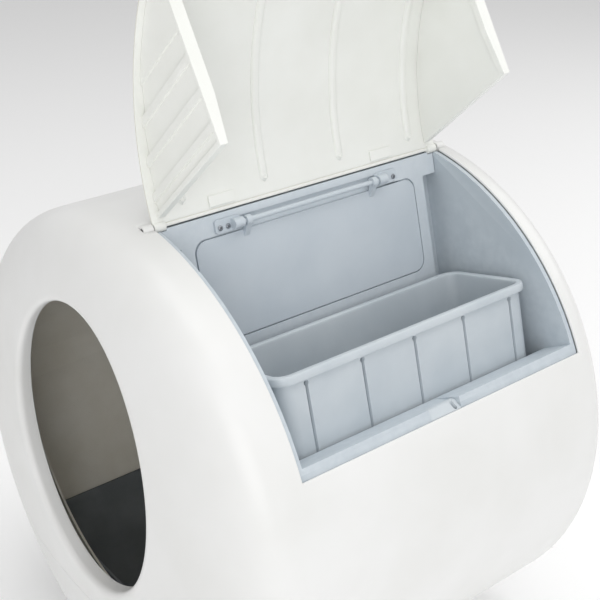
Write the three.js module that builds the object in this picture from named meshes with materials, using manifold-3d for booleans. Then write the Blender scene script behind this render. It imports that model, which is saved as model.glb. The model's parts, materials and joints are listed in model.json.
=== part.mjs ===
// A hooded, self-emptying cat litter box: a barrel lying on its side with an oval entrance in its
// domed front end, and a waste bay let into its upper side, under a hinged lid.
// Millimetres. +Z is up, the entrance faces -Y, and the bay and its lid are on the +X side.
// The origin is on the floor, under the middle of the barrel.
import * as THREE from "three";
import { mergeVertices } from "three/addons/utils/BufferGeometryUtils.js";
import Module from "manifold-3d";

const wasm = await Module();
wasm.setup();

// ---------- driving dimensions ----------
const barrelRadius = 280;
const barrelLength = 477;
const shellWall = 3;
const domeDepth = 73.8;
const domePower = 2.92; // superellipse exponent of the domed front end
const rearFillet = 32;
const footHeight = 12;
const seamDrop = 140; // from the axis down to the seam between hood and base

const entranceHalfWidth = 124;
const entranceHalfHeight = 155;
const entranceRise = 49; // centre of the oval above the axis
const entranceLipDepth = 20; // how far back the rolled-in lip reaches

// The bay frame is the barrel's own frame turned about the axis: u points outwards, w upwards.
const bayTilt = 15;
const bayFront = 84.6; // from the front end of the barrel to the bay's cut
const bayRear = 35.7; // from the bay's cut to the rear face
const tubWall = 3;
const tubEndWall = 5;
const hingeSetback = 2.134; // from the partition's face back to the lid's hinge line
const latchAngle = 79.8; // from the bay frame's w axis to the lid's free edge
const partitionU = 106.5; // front face of the partition
const recessDepth = 15.5; // from the partition's face back to the tub's rear wall
const partitionNotch = 24.35; // from the bay's end to the partition's narrow part
const stripBottom = 232.4; // where the partition widens to the bay's full length
const bayFloor = -8;
const ledgeAngle = 78.2; // outer top corner of the ledge
const ledgeWidth = 42; // from the tub's outer radius in to the ledge's inner edge
const ledgeInnerW = 50;

const binEndGap = 24.85; // from the bay's end to the bin's wall
const binFrontGap = 3.5; // from the bin's wall to the ledge
const binDepth = 130;
const binTop = 127;
const binWall = 2.5;
const binCorner = 14;
const binRimOverhang = 5;
const binRimHeight = 8;
const binBackGap = 20.5; // from the partition's face to the bin's wall

const flapMargin = 15; // from the partition's narrow side to the flap's
const flapAboveBin = 7;
const flapBelowRod = 9;
const flapThickness = 3;
const flapCorner = 13;
const rodRadius = 2.5;
const rodStandOff = 6.4; // from the partition's face to the rod's axis
const rodW = 243;
const rodInBracket = 8; // how far the rod's end goes into its bracket
const bracketInset = 53; // from the flap's side edge to its bracket's inner end
const bracketLength = 29;
const bracketBelowRod = 6;
const bracketAboveRod = 7;

const lidOpenAngle = 118.5;
const lidSkin = 2.8;
const lidEdgeGap = 0.8;
const lidWallThickness = 8;
const lidWallInset = 6.2; // from the lid's edge to the outer face of its end wall
const lidWallDepth = 144; // how far down the end walls reach beside the partition
const lidWallGap = 4; // from the partition's face to the end walls
const lidWallFall = 11; // degrees that their lower edge falls towards the latch
const lidPinRadius = 2.5;

const panRim = 160; // from the axis down to the pan's rim
const panGap = 4; // from the liner's inside to the pan
const panWall = 3;
const panFront = 52;
const linerGap = 12.5; // from the shell's inside to the liner
const linerWall = 2.5;
const linerFront = 44;
const linerRear = 75; // from the rear face to the liner's back wall

const tineGap = 5; // from the tips of the tines to the pan
const rakeParkAngle = 110;
const shaftRadius = 6;
const tineCount = 16;

const gap = 0.3; // between pieces that rest on each other
const tubFit = 0.5; // between the tub and the shell round it
const runningGap = 0.3; // between a pin and its hole, and round the button

// ---------- dependent dimensions ----------
const linerRadius = barrelRadius - shellWall - linerGap;
const panRadius = linerRadius - linerWall - panGap;
const rakeRadius = panRadius - panWall - tineGap;
const linerBack = barrelLength - linerRear;
const bayLength = barrelLength - bayFront - bayRear;
const partitionHalf = bayLength / 2 - partitionNotch;
const binLength = bayLength - 2 * binEndGap;
const flapHalf = partitionHalf - flapMargin;
const flapBottom = binTop + flapAboveBin;
const flapTop = rodW - flapBelowRod;
const bracketInner = flapHalf - bracketInset;
const rodHalf = bracketInner + rodInBracket;
const underside = panRadius + gap + shellWall; // from the axis down to the flat underside
const axisHeight = underside + footHeight;
const frontY = -barrelLength / 2;
const rearY = barrelLength / 2;
const shellInner = barrelRadius - shellWall;
const bayY0 = frontY + bayFront;
const bayY1 = bayY0 + bayLength;
const bayMid = (bayY0 + bayY1) / 2;
const tubOuter = shellInner - tubFit;
const ledgeInner = tubOuter - ledgeWidth;
const hingeRadius = barrelRadius - lidSkin / 2;
const hingeAngle = THREE.MathUtils.radToDeg(Math.asin((partitionU - hingeSetback) / hingeRadius));
const binWidth = ledgeInner - binFrontGap - partitionU - binBackGap;
const radians = THREE.MathUtils.degToRad;
const polar = (radius, angle) => [radius * Math.sin(radians(angle)), radius * Math.cos(radians(angle))];
const [hingeU, hingeW] = polar(hingeRadius, hingeAngle);

// ---------- materials ----------
const plastic = (color, roughness = 0.45) =>
  new THREE.MeshStandardMaterial({ color, roughness, metalness: 0 });
const metal = (color, roughness = 0.35) =>
  new THREE.MeshStandardMaterial({ color, roughness, metalness: 1 });
const white = plastic(0xf0f0ee, 0.4);
const warmWhite = plastic(0xebeee9, 0.45);
const greyBlue = plastic(0xbec5cb, 0.5);
const binGrey = plastic(0xc3c9cd, 0.45);
const charcoal = plastic(0x46494c, 0.6);
const offWhite = plastic(0xd9d7d0, 0.5);
const black = plastic(0x1c1d1f, 0.5);
const rubber = plastic(0x2b2c2e, 0.85);
const board = plastic(0x1f5a3a, 0.5);
const steel = metal(0xb8babd, 0.3);
const zinc = metal(0x9c9fa3, 0.45);

// ---------- helpers ----------
// A closed three.js geometry as a solid, without the slivers that collapse on an axis.
function solid(geometry) {
  const bare = geometry.clone();
  bare.deleteAttribute("normal");
  bare.deleteAttribute("uv");
  const merged = mergeVertices(bare, 1e-4);
  const index = merged.index.array;
  const kept = [];
  for (let i = 0; i < index.length; i += 3) {
    const [a, b, c] = [index[i], index[i + 1], index[i + 2]];
    if (a !== b && b !== c && c !== a) kept.push(a, b, c);
  }
  return new wasm.Manifold(
    new wasm.Mesh({
      numProp: 3,
      vertProperties: merged.attributes.position.array,
      triVerts: new Uint32Array(kept),
    }),
  );
}

function geometryOf(manifold) {
  const found = manifold.getMesh();
  return new THREE.BufferGeometry()
    .setAttribute("position", new THREE.BufferAttribute(found.vertProperties, 3))
    .setIndex(new THREE.BufferAttribute(found.triVerts, 1))
    .toNonIndexed();
}

function place(group, name, manifold, material) {
  const geometry = geometryOf(manifold);
  geometry.computeVertexNormals();
  const mesh = new THREE.Mesh(geometry, material);
  mesh.name = name;
  group.add(mesh);
  return mesh;
}

const union = (...solids) => solids.reduce((sum, next) => sum.add(next));

function box(x0, x1, y0, y1, z0, z1) {
  const geometry = new THREE.BoxGeometry(x1 - x0, y1 - y0, z1 - z0);
  geometry.translate((x0 + x1) / 2, (y0 + y1) / 2, (z0 + z1) / 2);
  return solid(geometry);
}

// A cylinder along Y.
function rod(radius, y0, y1, x = 0, z = 0, segments = 24) {
  const geometry = new THREE.CylinderGeometry(radius, radius, y1 - y0, segments);
  geometry.translate(x, (y0 + y1) / 2, z);
  return solid(geometry);
}

// An outline in the XZ plane, run along Y.
function alongY(shape, y0, y1, curveSegments = 12) {
  const geometry = new THREE.ExtrudeGeometry(shape, {
    depth: y1 - y0,
    bevelEnabled: false,
    curveSegments,
  });
  geometry.rotateX(Math.PI / 2);
  geometry.translate(0, y1, 0);
  return solid(geometry);
}

const outline = (points) => new THREE.Shape(points.map(([x, z]) => new THREE.Vector2(x, z)));

// A slice of a ring about the barrel's axis, between two angles from the +Z axis.
function ringSlice(inner, outer, angle0, angle1, y0, y1, segments = 24) {
  const shape = new THREE.Shape();
  const start = Math.PI / 2 - radians(angle0);
  const end = Math.PI / 2 - radians(angle1);
  shape.absarc(0, 0, outer, start, end, true);
  shape.absarc(0, 0, inner, end, start, false);
  return alongY(shape, y0, y1, segments);
}

function ellipseRod(halfWidth, halfHeight, y0, y1, z) {
  const shape = new THREE.Shape();
  shape.absellipse(0, z, halfWidth, halfHeight, 0, 2 * Math.PI, false);
  return alongY(shape, y0, y1, 56);
}

// A rectangle with rounded corners, as an outline.
function roundedOutline(x0, x1, y0, y1, corner) {
  const shape = new THREE.Shape();
  shape.absarc(x1 - corner, y0 + corner, corner, -Math.PI / 2, 0, false);
  shape.absarc(x1 - corner, y1 - corner, corner, 0, Math.PI / 2, false);
  shape.absarc(x0 + corner, y1 - corner, corner, Math.PI / 2, Math.PI, false);
  shape.absarc(x0 + corner, y0 + corner, corner, Math.PI, 1.5 * Math.PI, false);
  return shape;
}

// A rounded rectangle in the XY plane, run along Z.
function roundedBlock(x0, x1, y0, y1, corner, z0, z1) {
  const geometry = new THREE.ExtrudeGeometry(roundedOutline(x0, x1, y0, y1, corner), {
    depth: z1 - z0,
    bevelEnabled: false,
    curveSegments: 5,
  });
  geometry.translate(0, 0, z0);
  return solid(geometry);
}

// A rounded rectangle in the YZ plane, run along X.
function roundedPlate(x0, x1, y0, y1, z0, z1, corner) {
  const geometry = new THREE.ExtrudeGeometry(roundedOutline(y0, y1, z0, z1, corner), {
    depth: x1 - x0,
    bevelEnabled: false,
    curveSegments: 5,
  });
  geometry.rotateX(Math.PI / 2);
  geometry.rotateZ(Math.PI / 2);
  geometry.translate(x0, 0, 0);
  return solid(geometry);
}

// The barrel's outer form, made smaller all round by an inset.
function barrel(inset) {
  const radius = barrelRadius - inset;
  const profile = [new THREE.Vector2(0, frontY + inset)];
  const domeSteps = 8;
  for (let i = 1; i <= domeSteps; i++) {
    const turn = (i / domeSteps) * (Math.PI / 2);
    const across = Math.pow(Math.sin(turn), 2 / domePower);
    const back = 1 - Math.pow(Math.cos(turn), 2 / domePower);
    profile.push(new THREE.Vector2(radius * across, frontY + inset + (domeDepth - inset) * back));
  }
  const fillet = rearFillet - inset;
  const filletSteps = 4;
  for (let i = 0; i <= filletSteps; i++) {
    const turn = (i / filletSteps) * (Math.PI / 2);
    const across = radius - fillet + fillet * Math.cos(turn);
    profile.push(new THREE.Vector2(across, rearY - inset - fillet + fillet * Math.sin(turn)));
  }
  profile.push(new THREE.Vector2(0, rearY - inset));
  const round = solid(new THREE.LatheGeometry(profile, 72));
  const reach = 2 * barrelRadius;
  return round.intersect(box(-reach, reach, -reach, reach, inset - underside, reach));
}

const drum = new THREE.Group();
drum.position.z = axisHeight;
const bay = new THREE.Group(); // x is u, z is w
bay.rotation.y = -radians(bayTilt);
drum.add(bay);
const turned = (manifold) => manifold.rotate([0, -bayTilt, 0]); // from the bay frame to the drum's
const sides = [
  ["left", -1],
  ["right", 1],
];

// ---------- barrel ----------
const barrelOuter = barrel(0);
const barrelInner = barrel(shellWall);
const far = 2 * barrelRadius;
const shellHingeAngle = hingeAngle - 0.6;

function lidOpening() {
  const cut = ringSlice(shellInner - 12, barrelRadius + 12, shellHingeAngle, latchAngle, bayY0, bayY1);
  return turned(cut);
}

const lugRadius = lidPinRadius + 2.5;
const lugLength = 10.5;
const endBossLength = lidWallInset + 6;
const lugY = (side) => (side < 0 ? bayY0 - 0.6 - lugLength : bayY1 + 0.6);

// The room that a hinge lug and the lid's end boss beside it take, on one side.
function hingeRoom(side) {
  const y = lugY(side);
  const reach = lidEdgeGap + endBossLength + gap;
  const inner = side < 0 ? bayY0 + reach : bayY1 - reach;
  const outer = side < 0 ? y - gap : y + lugLength + gap;
  return rod(lugRadius + gap, Math.min(inner, outer), Math.max(inner, outer), hingeU, hingeW);
}

function buildShells() {
  const entranceWall = ellipseRod(
    entranceHalfWidth + shellWall,
    entranceHalfHeight + shellWall,
    frontY - 5,
    frontY + entranceLipDepth,
    entranceRise,
  ).intersect(barrelOuter);
  const entranceHole = ellipseRod(
    entranceHalfWidth,
    entranceHalfHeight,
    frontY - 10,
    frontY + entranceLipDepth + 10,
    entranceRise,
  );
  let whole = barrelOuter.subtract(barrelInner).add(entranceWall).subtract(entranceHole);
  whole = whole.subtract(lidOpening());
  whole = whole.subtract(rod(rearOpening, rearY - 20, rearY + 10, 0, 0, 48));
  for (const [, side] of sides) whole = whole.subtract(turned(hingeRoom(side)));
  place(drum, "hood_shell", whole.subtract(box(-far, far, -far, far, -far, gap - seamDrop)), white);
  let lower = whole.subtract(box(-far, far, -far, far, -seamDrop, far));
  for (const [x, y] of footPlaces) lower = lower.subtract(footBolt(x, y, footBoltRadius + runningGap));
  place(drum, "base_shell", lower, white);
}

// ---------- feet ----------
const footRadius = 17;
const footBoltRadius = 3;
const footX = 80;
const footPlaces = [
  [-footX, frontY + 110],
  [footX, frontY + 110],
  [-footX, rearY - 60],
  [footX, rearY - 60],
];

function upright(radius, z0, z1, x, y, segments = 24) {
  const geometry = new THREE.CylinderGeometry(radius, radius, z1 - z0, segments);
  geometry.rotateX(Math.PI / 2);
  geometry.translate(x, y, (z0 + z1) / 2);
  return solid(geometry);
}
const footBolt = (x, y, radius) => upright(radius, -underside - 1, -underside + shellWall + 4, x, y, 16);

function buildFeet() {
  footPlaces.forEach(([x, y], i) => {
    const pad = upright(footRadius, -axisHeight, -underside - gap, x, y, 32);
    place(drum, "foot_" + (i + 1), union(pad, footBolt(x, y, footBoltRadius)), rubber);
  });
}

// ---------- rear panel, inlet and button ----------
const rearOpening = 120;
const panelRadius = rearOpening - 0.6;
const panelThickness = 3.5;
const screwCircle = 108;
const screwShank = 1.8;
const screwHead = 4;
const rearScrews = [45, 135, 225, 315].map((angle) => polar(screwCircle, angle));
const inletPlace = [-62, -62];
const inletRadius = 8;
const inletDepth = 14;
const socketRadius = 3.2;
const pinRadius = 1.1;
const buttonPlace = [62, -62];
const buttonRadius = 9;
const buttonStands = 2.5; // how far the button stands out of the panel

function screw(x, z, y, length) {
  return union(rod(screwHead, y + gap, y + gap + 2, x, z, 20), rod(screwShank, y - length, y + 1, x, z, 12));
}

function buildRearPanel() {
  const flange = rod(panelRadius + 9, rearY - shellWall - gap - 3, rearY - shellWall - gap, 0, 0, 48);
  const face = rod(panelRadius, rearY - shellWall - gap - 3, rearY, 0, 0, 48);
  const hollow = rod(panelRadius - 16, rearY - 20, rearY - panelThickness + 0.5, 0, 0, 48);
  let panel = union(flange, face).subtract(hollow);
  for (const [x, z] of rearScrews) {
    const hole = rod(screwShank + runningGap, rearY - 20, rearY + 1, x, z, 12);
    panel = panel.subtract(hole);
  }
  panel = panel.subtract(rod(inletRadius + gap, rearY - 20, rearY + 1, ...inletPlace));
  panel = panel.subtract(rod(buttonRadius + runningGap, rearY - 20, rearY + 1, ...buttonPlace));
  place(drum, "rear_panel", panel, white);
  rearScrews.forEach(([x, z], i) => place(drum, "rear_screw_" + (i + 1), screw(x, z, rearY, 9), zinc));

  const socket = rod(inletRadius, rearY - inletDepth, rearY + 1, ...inletPlace);
  const socketHole = rod(socketRadius, rearY - inletDepth + 4, rearY + 2, ...inletPlace, 16);
  const socketPin = rod(pinRadius, rearY - inletDepth + 3, rearY - 1.5, ...inletPlace, 12);
  place(drum, "power_inlet", socket.subtract(socketHole).add(socketPin), black);

  const button = rod(buttonRadius, rearY - 6, rearY + buttonStands, ...buttonPlace, 32);
  place(drum, "power_button", button, greyBlue);
}

// ---------- bay tub ----------
const tubBack = partitionU - recessDepth; // the rear wall's face towards the bay
const ledgeOuter = polar(tubOuter, ledgeAngle);
const pocketLength = 38;
const pocketOffset = -6;
const pocketHalf = pocketLength / 2;
const pocketAngle = ledgeAngle - 1.2;
const catchFootAngle = latchAngle + 3.4;
const catchInward = 10; // from the ledge's corner in to the catch's back
const catchDrop = 6.2; // from the ledge's corner down to the catch's flat top
const catchSlope = 8; // how far in the sloping face runs
const slotOffset = 7;
const slotHalfLength = 3.5;
const slotHalfWidth = 2;
const slotInset = 5; // from the catch's lower front corner in to the slot's middle

function bayHollow(inset) {
  const above = far;
  const slope = (ledgeOuter[1] - ledgeInnerW) / (ledgeOuter[0] - ledgeInner);
  const beyond = ledgeInner + 80;
  return outline([
    [tubBack - inset, bayFloor - inset],
    [ledgeInner + inset, bayFloor - inset],
    [ledgeInner + inset, ledgeInnerW - inset],
    [beyond, ledgeInnerW + slope * 80 - inset],
    [beyond, above],
    [tubBack - inset, above],
  ]);
}

function pocketCut(clearance) {
  const y0 = bayMid + pocketOffset - pocketHalf - clearance;
  const corner = polar(tubOuter, pocketAngle);
  const low = polar(tubOuter, catchFootAngle);
  const inward = catchInward + clearance;
  const shape = outline([
    [corner[0] - inward, low[1] - clearance],
    [far, low[1] - clearance],
    [far, corner[1] + 20],
    [corner[0] - inward, corner[1] + 20],
  ]);
  return alongY(shape, y0, y0 + pocketLength + 2 * clearance);
}

function flapTunnel(margin, u0, u1) {
  return roundedPlate(
    u0,
    u1,
    bayMid - flapHalf - margin,
    bayMid + flapHalf + margin,
    flapBottom - margin,
    flapTop + margin,
    flapCorner + Math.min(margin, 0),
  );
}

function buildTub() {
  const y0 = bayY0 + gap;
  const y1 = bayY1 - gap;
  const roundBar = rod(tubOuter, y0, y1, 0, 0, 96);
  let tub = alongY(bayHollow(tubWall), y0, y1).intersect(roundBar);
  const apron = ringSlice(tubOuter - tubWall, tubOuter, ledgeAngle, latchAngle + 4, y0, y1, 4);
  tub = tub.add(apron);
  tub = tub.subtract(alongY(bayHollow(0), y0 + tubEndWall, y1 - tubEndWall));
  tub = tub.subtract(pocketCut(gap));
  tub = tub.subtract(flapTunnel(-3, tubBack - 20, tubBack + 1));
  for (const [, side] of sides) tub = tub.subtract(hingeRoom(side));
  place(bay, "bay_tub", tub, greyBlue);
}

// The block that fills the finger notch in the ledge: a sloping face with the latch's slot.
function buildCatch() {
  const corner = polar(tubOuter, pocketAngle);
  const foot = polar(tubOuter, catchFootAngle);
  const face = polar(tubOuter, latchAngle - 0.1);
  const y0 = bayMid + pocketOffset - pocketHalf;
  const top = corner[1] - catchDrop;
  const shape = outline([
    [corner[0] - catchInward, foot[1]],
    [foot[0], foot[1]],
    [face[0], face[1]],
    [face[0] - catchSlope, top],
    [corner[0] - catchInward, top],
  ]);
  const slotY = bayMid + slotOffset;
  const slotU = face[0] - slotInset;
  const slot = roundedPlate(
    slotU - slotHalfLength,
    slotU + slotHalfLength,
    slotY - slotHalfWidth,
    slotY + slotHalfWidth,
    face[1] + 0.5,
    top + 4,
    slotHalfWidth - 0.1,
  );
  const inner = rod(linerRadius + tubClearance, bayY0, bayY1, 0, 0, 84);
  const block = alongY(shape, y0, y0 + pocketLength).subtract(inner).subtract(slot);
  place(bay, "latch_catch", block, binGrey);
}

// ---------- partition, flap and rod ----------
const rodU = partitionU + rodStandOff;
const panelTop = Math.sqrt((barrelRadius - lidSkin - gap) ** 2 - partitionU ** 2);
const frameMargin = 1.5;
const stopLap = 5;
const knuckleSlotDrop = 2.5; // from the rod's axis down to the slot that its knuckles swing in
const bracketThickness = 2.5;
const bracketW0 = rodW - bracketBelowRod;
const bracketW1 = rodW + bracketAboveRod;
const bracketBoss = rodRadius + 2.5;
const bracketScrewW = rodW - 1;
const plateScrewShank = 1.2;
const plateScrewHead = 2.6;
const bracketScrewYs = [bracketInner + 15, bracketInner + 24];

function acrossU(radius, u0, u1, y, w, segments = 16) {
  const geometry = new THREE.CylinderGeometry(radius, radius, u1 - u0, segments);
  geometry.rotateZ(Math.PI / 2);
  geometry.translate((u0 + u1) / 2, y, w);
  return solid(geometry);
}

function buildPartition() {
  const skin = partitionU - tubWall;
  const fullHalf = bayLength / 2 - tubEndWall - 2 * gap - 0.5;
  const y0 = bayMid - partitionHalf;
  const y1 = bayMid + partitionHalf;
  const lower = box(skin, partitionU, y0, y1, bayFloor + gap, stripBottom + 1);
  const strip = box(skin, partitionU, bayMid - fullHalf, bayMid + fullHalf, stripBottom, panelTop);
  const stop = roundedPlate(
    skin - tubWall,
    skin + 1,
    bayMid - flapHalf - 8,
    bayMid + flapHalf + 8,
    flapBottom - 8,
    flapTop + 8,
    flapCorner,
  );
  let panel = union(lower, strip, stop);
  for (const [, side] of sides) {
    const y = bayMid + side * (partitionHalf - tubWall / 2);
    const cheek = box(tubBack + gap, partitionU, y - tubWall / 2, y + tubWall / 2, bayFloor + gap, stripBottom + 1);
    panel = panel.add(cheek);
  }
  panel = panel.add(box(tubBack + gap, partitionU, y0, y1, stripBottom - 1, stripBottom + 1.5));
  panel = panel.subtract(flapTunnel(frameMargin, skin, partitionU + 1));
  for (const [, side] of sides) panel = panel.subtract(hingeRoom(side));
  panel = panel.subtract(flapTunnel(-stopLap, skin - 20, skin + 1));
  const slotHalf = bracketInner - 1;
  const slotTop = rodW - knuckleSlotDrop;
  panel = panel.subtract(box(skin, partitionU + 1, bayMid - slotHalf, bayMid + slotHalf, flapTop, slotTop));
  for (const [, side] of sides) {
    for (const y of bracketScrewYs) {
      const at = bayMid + side * y;
      panel = panel.subtract(acrossU(plateScrewShank + runningGap, skin - 5, partitionU + 1, at, bracketScrewW));
    }
  }
  place(bay, "partition_panel", panel, greyBlue);
}

function buildBrackets() {
  let count = 0;
  for (const [name, side] of sides) {
    const ys = [side * bracketInner, side * (bracketInner + bracketLength)].sort((a, b) => a - b);
    const plate = roundedPlate(
      partitionU + gap,
      partitionU + gap + bracketThickness,
      bayMid + ys[0],
      bayMid + ys[1],
      bracketW0,
      bracketW1,
      3,
    );
    const bossYs = [side * bracketInner, side * (bracketInner + 11)].sort((a, b) => a - b);
    const boss = rod(bracketBoss, bayMid + bossYs[0], bayMid + bossYs[1], rodU, rodW);
    const webY0 = bayMid + bossYs[0];
    const webY1 = bayMid + bossYs[1];
    const web = box(partitionU + gap, rodU, webY0, webY1, rodW - bracketBoss, rodW + bracketBoss);
    let bracket = union(plate, boss, web);
    bracket = bracket.subtract(rod(rodRadius + gap, bayMid - rodHalf - 1, bayMid + rodHalf + 1, rodU, rodW));
    for (const y of bracketScrewYs) {
      const at = bayMid + side * y;
      bracket = bracket.subtract(acrossU(plateScrewShank + runningGap, partitionU - 1, rodU + 9, at, bracketScrewW));
    }
    place(bay, "rod_bracket_" + name, bracket, greyBlue);
    for (const y of bracketScrewYs) {
      const at = bayMid + side * y;
      const seat = partitionU + gap + bracketThickness;
      const head = acrossU(plateScrewHead, seat + gap, seat + gap + 1.4, at, bracketScrewW);
      const shank = acrossU(plateScrewShank, partitionU - tubWall - 3, seat + 1, at, bracketScrewW, 10);
      count += 1;
      place(bay, "bracket_screw_" + count, union(head, shank), zinc);
    }
  }
  place(bay, "flap_rod", rod(rodRadius, bayMid - rodHalf, bayMid + rodHalf, rodU, rodW), greyBlue);
}

function buildFlap() {
  const u0 = partitionU - tubWall + gap;
  const plate = roundedPlate(
    u0,
    u0 + flapThickness,
    bayMid - flapHalf,
    bayMid + flapHalf,
    flapBottom,
    flapTop,
    flapCorner,
  );
  let flap = plate;
  const knuckle = 6;
  for (const [, side] of sides) {
    const ys = [side * (bracketInner - 3 - knuckle), side * (bracketInner - 3)].sort((a, b) => a - b);
    const barrelPart = rod(rodRadius + 2.4, bayMid + ys[0], bayMid + ys[1], rodU, rodW);
    const web = alongY(
      outline([
        [u0 + 1, flapTop - 5],
        [u0 + flapThickness, flapTop - 7],
        [rodU + rodRadius + 1, rodW - 1],
        [rodU - 2, rodW + 1],
        [u0 + flapThickness - 0.5, flapTop - 1],
        [u0 + 1, flapTop - 1],
      ]),
      bayMid + ys[0],
      bayMid + ys[1],
    );
    flap = union(flap, barrelPart, web);
  }
  flap = flap.subtract(rod(rodRadius + runningGap, bayMid - rodHalf, bayMid + rodHalf, rodU, rodW));
  place(bay, "flap", flap, greyBlue);
}

// ---------- waste bin ----------
function buildBin() {
  const u0 = partitionU + binBackGap;
  const u1 = u0 + binWidth;
  const y0 = bayMid - binLength / 2;
  const y1 = bayMid + binLength / 2;
  const w0 = binTop - binDepth;
  const over = binRimOverhang;
  const body = roundedBlock(u0, u1, y0, y1, binCorner, w0, binTop);
  const rimLow = binTop - binRimHeight;
  const rim = roundedBlock(u0 - over, u1 + over, y0 - over, y1 + over, binCorner + over, rimLow, binTop);
  const inside = roundedBlock(
    u0 + binWall,
    u1 - binWall,
    y0 + binWall,
    y1 - binWall,
    binCorner - binWall,
    w0 + binWall,
    binTop + 1,
  );
  place(bay, "waste_bin", union(body, rim).subtract(inside), binGrey);
}

// ---------- lid: modelled shut, in the bay frame, then opened ----------
const lidY0 = bayY0 + lidEdgeGap;
const lidY1 = bayY1 - lidEdgeGap;
const lidInner = barrelRadius - lidSkin;
const lidFreeAngle = latchAngle - 0.35;
const lid = new THREE.Group();
lid.position.set(hingeU, 0, hingeW);
lid.rotation.y = -radians(lidOpenAngle);
bay.add(lid);
const ribCount = 4;
const ribEndGap = 35.85; // from the bay's end to the outer ribs
const ribSpacing = (bayLength - 2 * ribEndGap) / (ribCount - 1);
const ribHalf = 6.5;
const ribHeight = 3.5;
const ribStart = 2.6; // degrees on from the hinge line
const ribEnd = 43;
const hookLength = 7.5;
const hookHalf = 1.5;
const hookPadHalf = 5;
const tabStart = 0.9;
const tabEnd = 3.1;
const aboutHinge = (manifold) => manifold.translate([-hingeU, 0, -hingeW]);

function buildLid() {
  const skin = ringSlice(lidInner, barrelRadius, hingeAngle, lidFreeAngle, lidY0, lidY1, 20);
  const bead = rod(lidSkin / 2 - 0.05, lidY0, lidY1, hingeU, hingeW, 16);
  let whole = union(skin, bead);
  for (const [, side] of sides) {
    const ys = side < 0 ? [lidY0, lidY0 + endBossLength] : [lidY1 - endBossLength, lidY1];
    whole = whole.add(rod(lugRadius - 0.4, ys[0], ys[1], hingeU, hingeW));
    const pin = side < 0 ? [lidY0 - 1, lidY0 + lidWallInset + 2] : [lidY1 - lidWallInset - 2, lidY1 + 1];
    whole = whole.subtract(rod(lidPinRadius + runningGap, pin[0], pin[1], hingeU, hingeW, 16));
  }
  place(lid, "lid_skin", aboutHinge(whole), warmWhite);

  const wallU = partitionU + lidWallGap;
  const wallTop = Math.sqrt((lidInner - gap) ** 2 - wallU ** 2);
  const tipW = wallTop - lidWallDepth;
  const tipRise = -Math.tan(radians(lidWallFall));
  const lowerEnd = wallU + 165;
  const wallShape = outline([
    [wallU, tipW],
    [lowerEnd, tipW + tipRise * (lowerEnd - wallU)],
    [lowerEnd, far],
    [wallU, far],
  ]);
  for (const [name, side] of sides) {
    const outerFace = side < 0 ? lidY0 + lidWallInset : lidY1 - lidWallInset;
    const ys = [outerFace, outerFace - side * lidWallThickness].sort((a, b) => a - b);
    const disc = rod(lidInner - gap, ys[0], ys[1], 0, 0, 96);
    let wall = alongY(wallShape, ys[0], ys[1]).intersect(disc);
    wall = wall.subtract(rod(lugRadius + gap, ys[0] - 1, ys[1] + 1, hingeU, hingeW));
    place(lid, "lid_end_wall_" + name, aboutHinge(wall), warmWhite);
  }

  for (let i = 0; i < ribCount; i++) {
    const y = bayMid + (i - (ribCount - 1) / 2) * ribSpacing;
    const rib = ringSlice(
      lidInner - gap - ribHeight,
      lidInner - gap,
      hingeAngle + ribStart,
      hingeAngle + ribEnd,
      y - ribHalf,
      y + ribHalf,
      12,
    );
    place(lid, "lid_rib_" + (i + 1), aboutHinge(rib), warmWhite);
  }

  for (const [name, side] of sides) {
    const ys = [side * bracketInner, side * (bracketInner + bracketLength)].sort((a, b) => a - b);
    const tab = ringSlice(
      lidInner - gap - 1.6,
      lidInner - gap,
      hingeAngle + tabStart,
      hingeAngle + tabEnd,
      bayMid + ys[0],
      bayMid + ys[1],
      4,
    );
    place(lid, "lid_tab_" + name, aboutHinge(tab), warmWhite);
  }

  const hookY = bayMid + slotOffset;
  const seat = lidInner - gap;
  const hookEnd = lidFreeAngle - 0.8;
  const hook = ringSlice(seat - hookLength, seat, hookEnd - 0.8, hookEnd, hookY - hookHalf, hookY + hookHalf, 2);
  const padStart = hookEnd - 4.2;
  const hookPad = ringSlice(seat - 2, seat, padStart, hookEnd, hookY - hookPadHalf, hookY + hookPadHalf, 3);
  place(lid, "latch_hook", aboutHinge(union(hook, hookPad)), warmWhite);
}

function buildLidHinges() {
  for (const [name, side] of sides) {
    const y = lugY(side);
    const bore = rod(lidPinRadius + gap, y - 1, y + lugLength + 1, hingeU, hingeW, 16);
    const lugSolid = rod(lugRadius, y, y + lugLength, hingeU, hingeW, 32).subtract(bore);
    place(bay, "hinge_lug_" + name, lugSolid, white);
    const inner = side < 0 ? lidY0 + lidWallInset + 1 : lidY1 - lidWallInset - 1;
    const outer = side < 0 ? y + 1 : y + lugLength - 1;
    const [a, b] = [inner, outer].sort((p, q) => p - q);
    place(bay, "lid_pin_" + name, rod(lidPinRadius, a, b, hingeU, hingeW, 16), steel);
  }
}

// ---------- chamber liner and litter pan ----------
const linerDoorMargin = 24; // the liner's front opening is this much larger than the entrance
const linerOverlap = 22; // how far the liner reaches below the pan's rim
const shaftClearance = 2;
const tubClearance = 1;
const panEndGap = 2;

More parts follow.
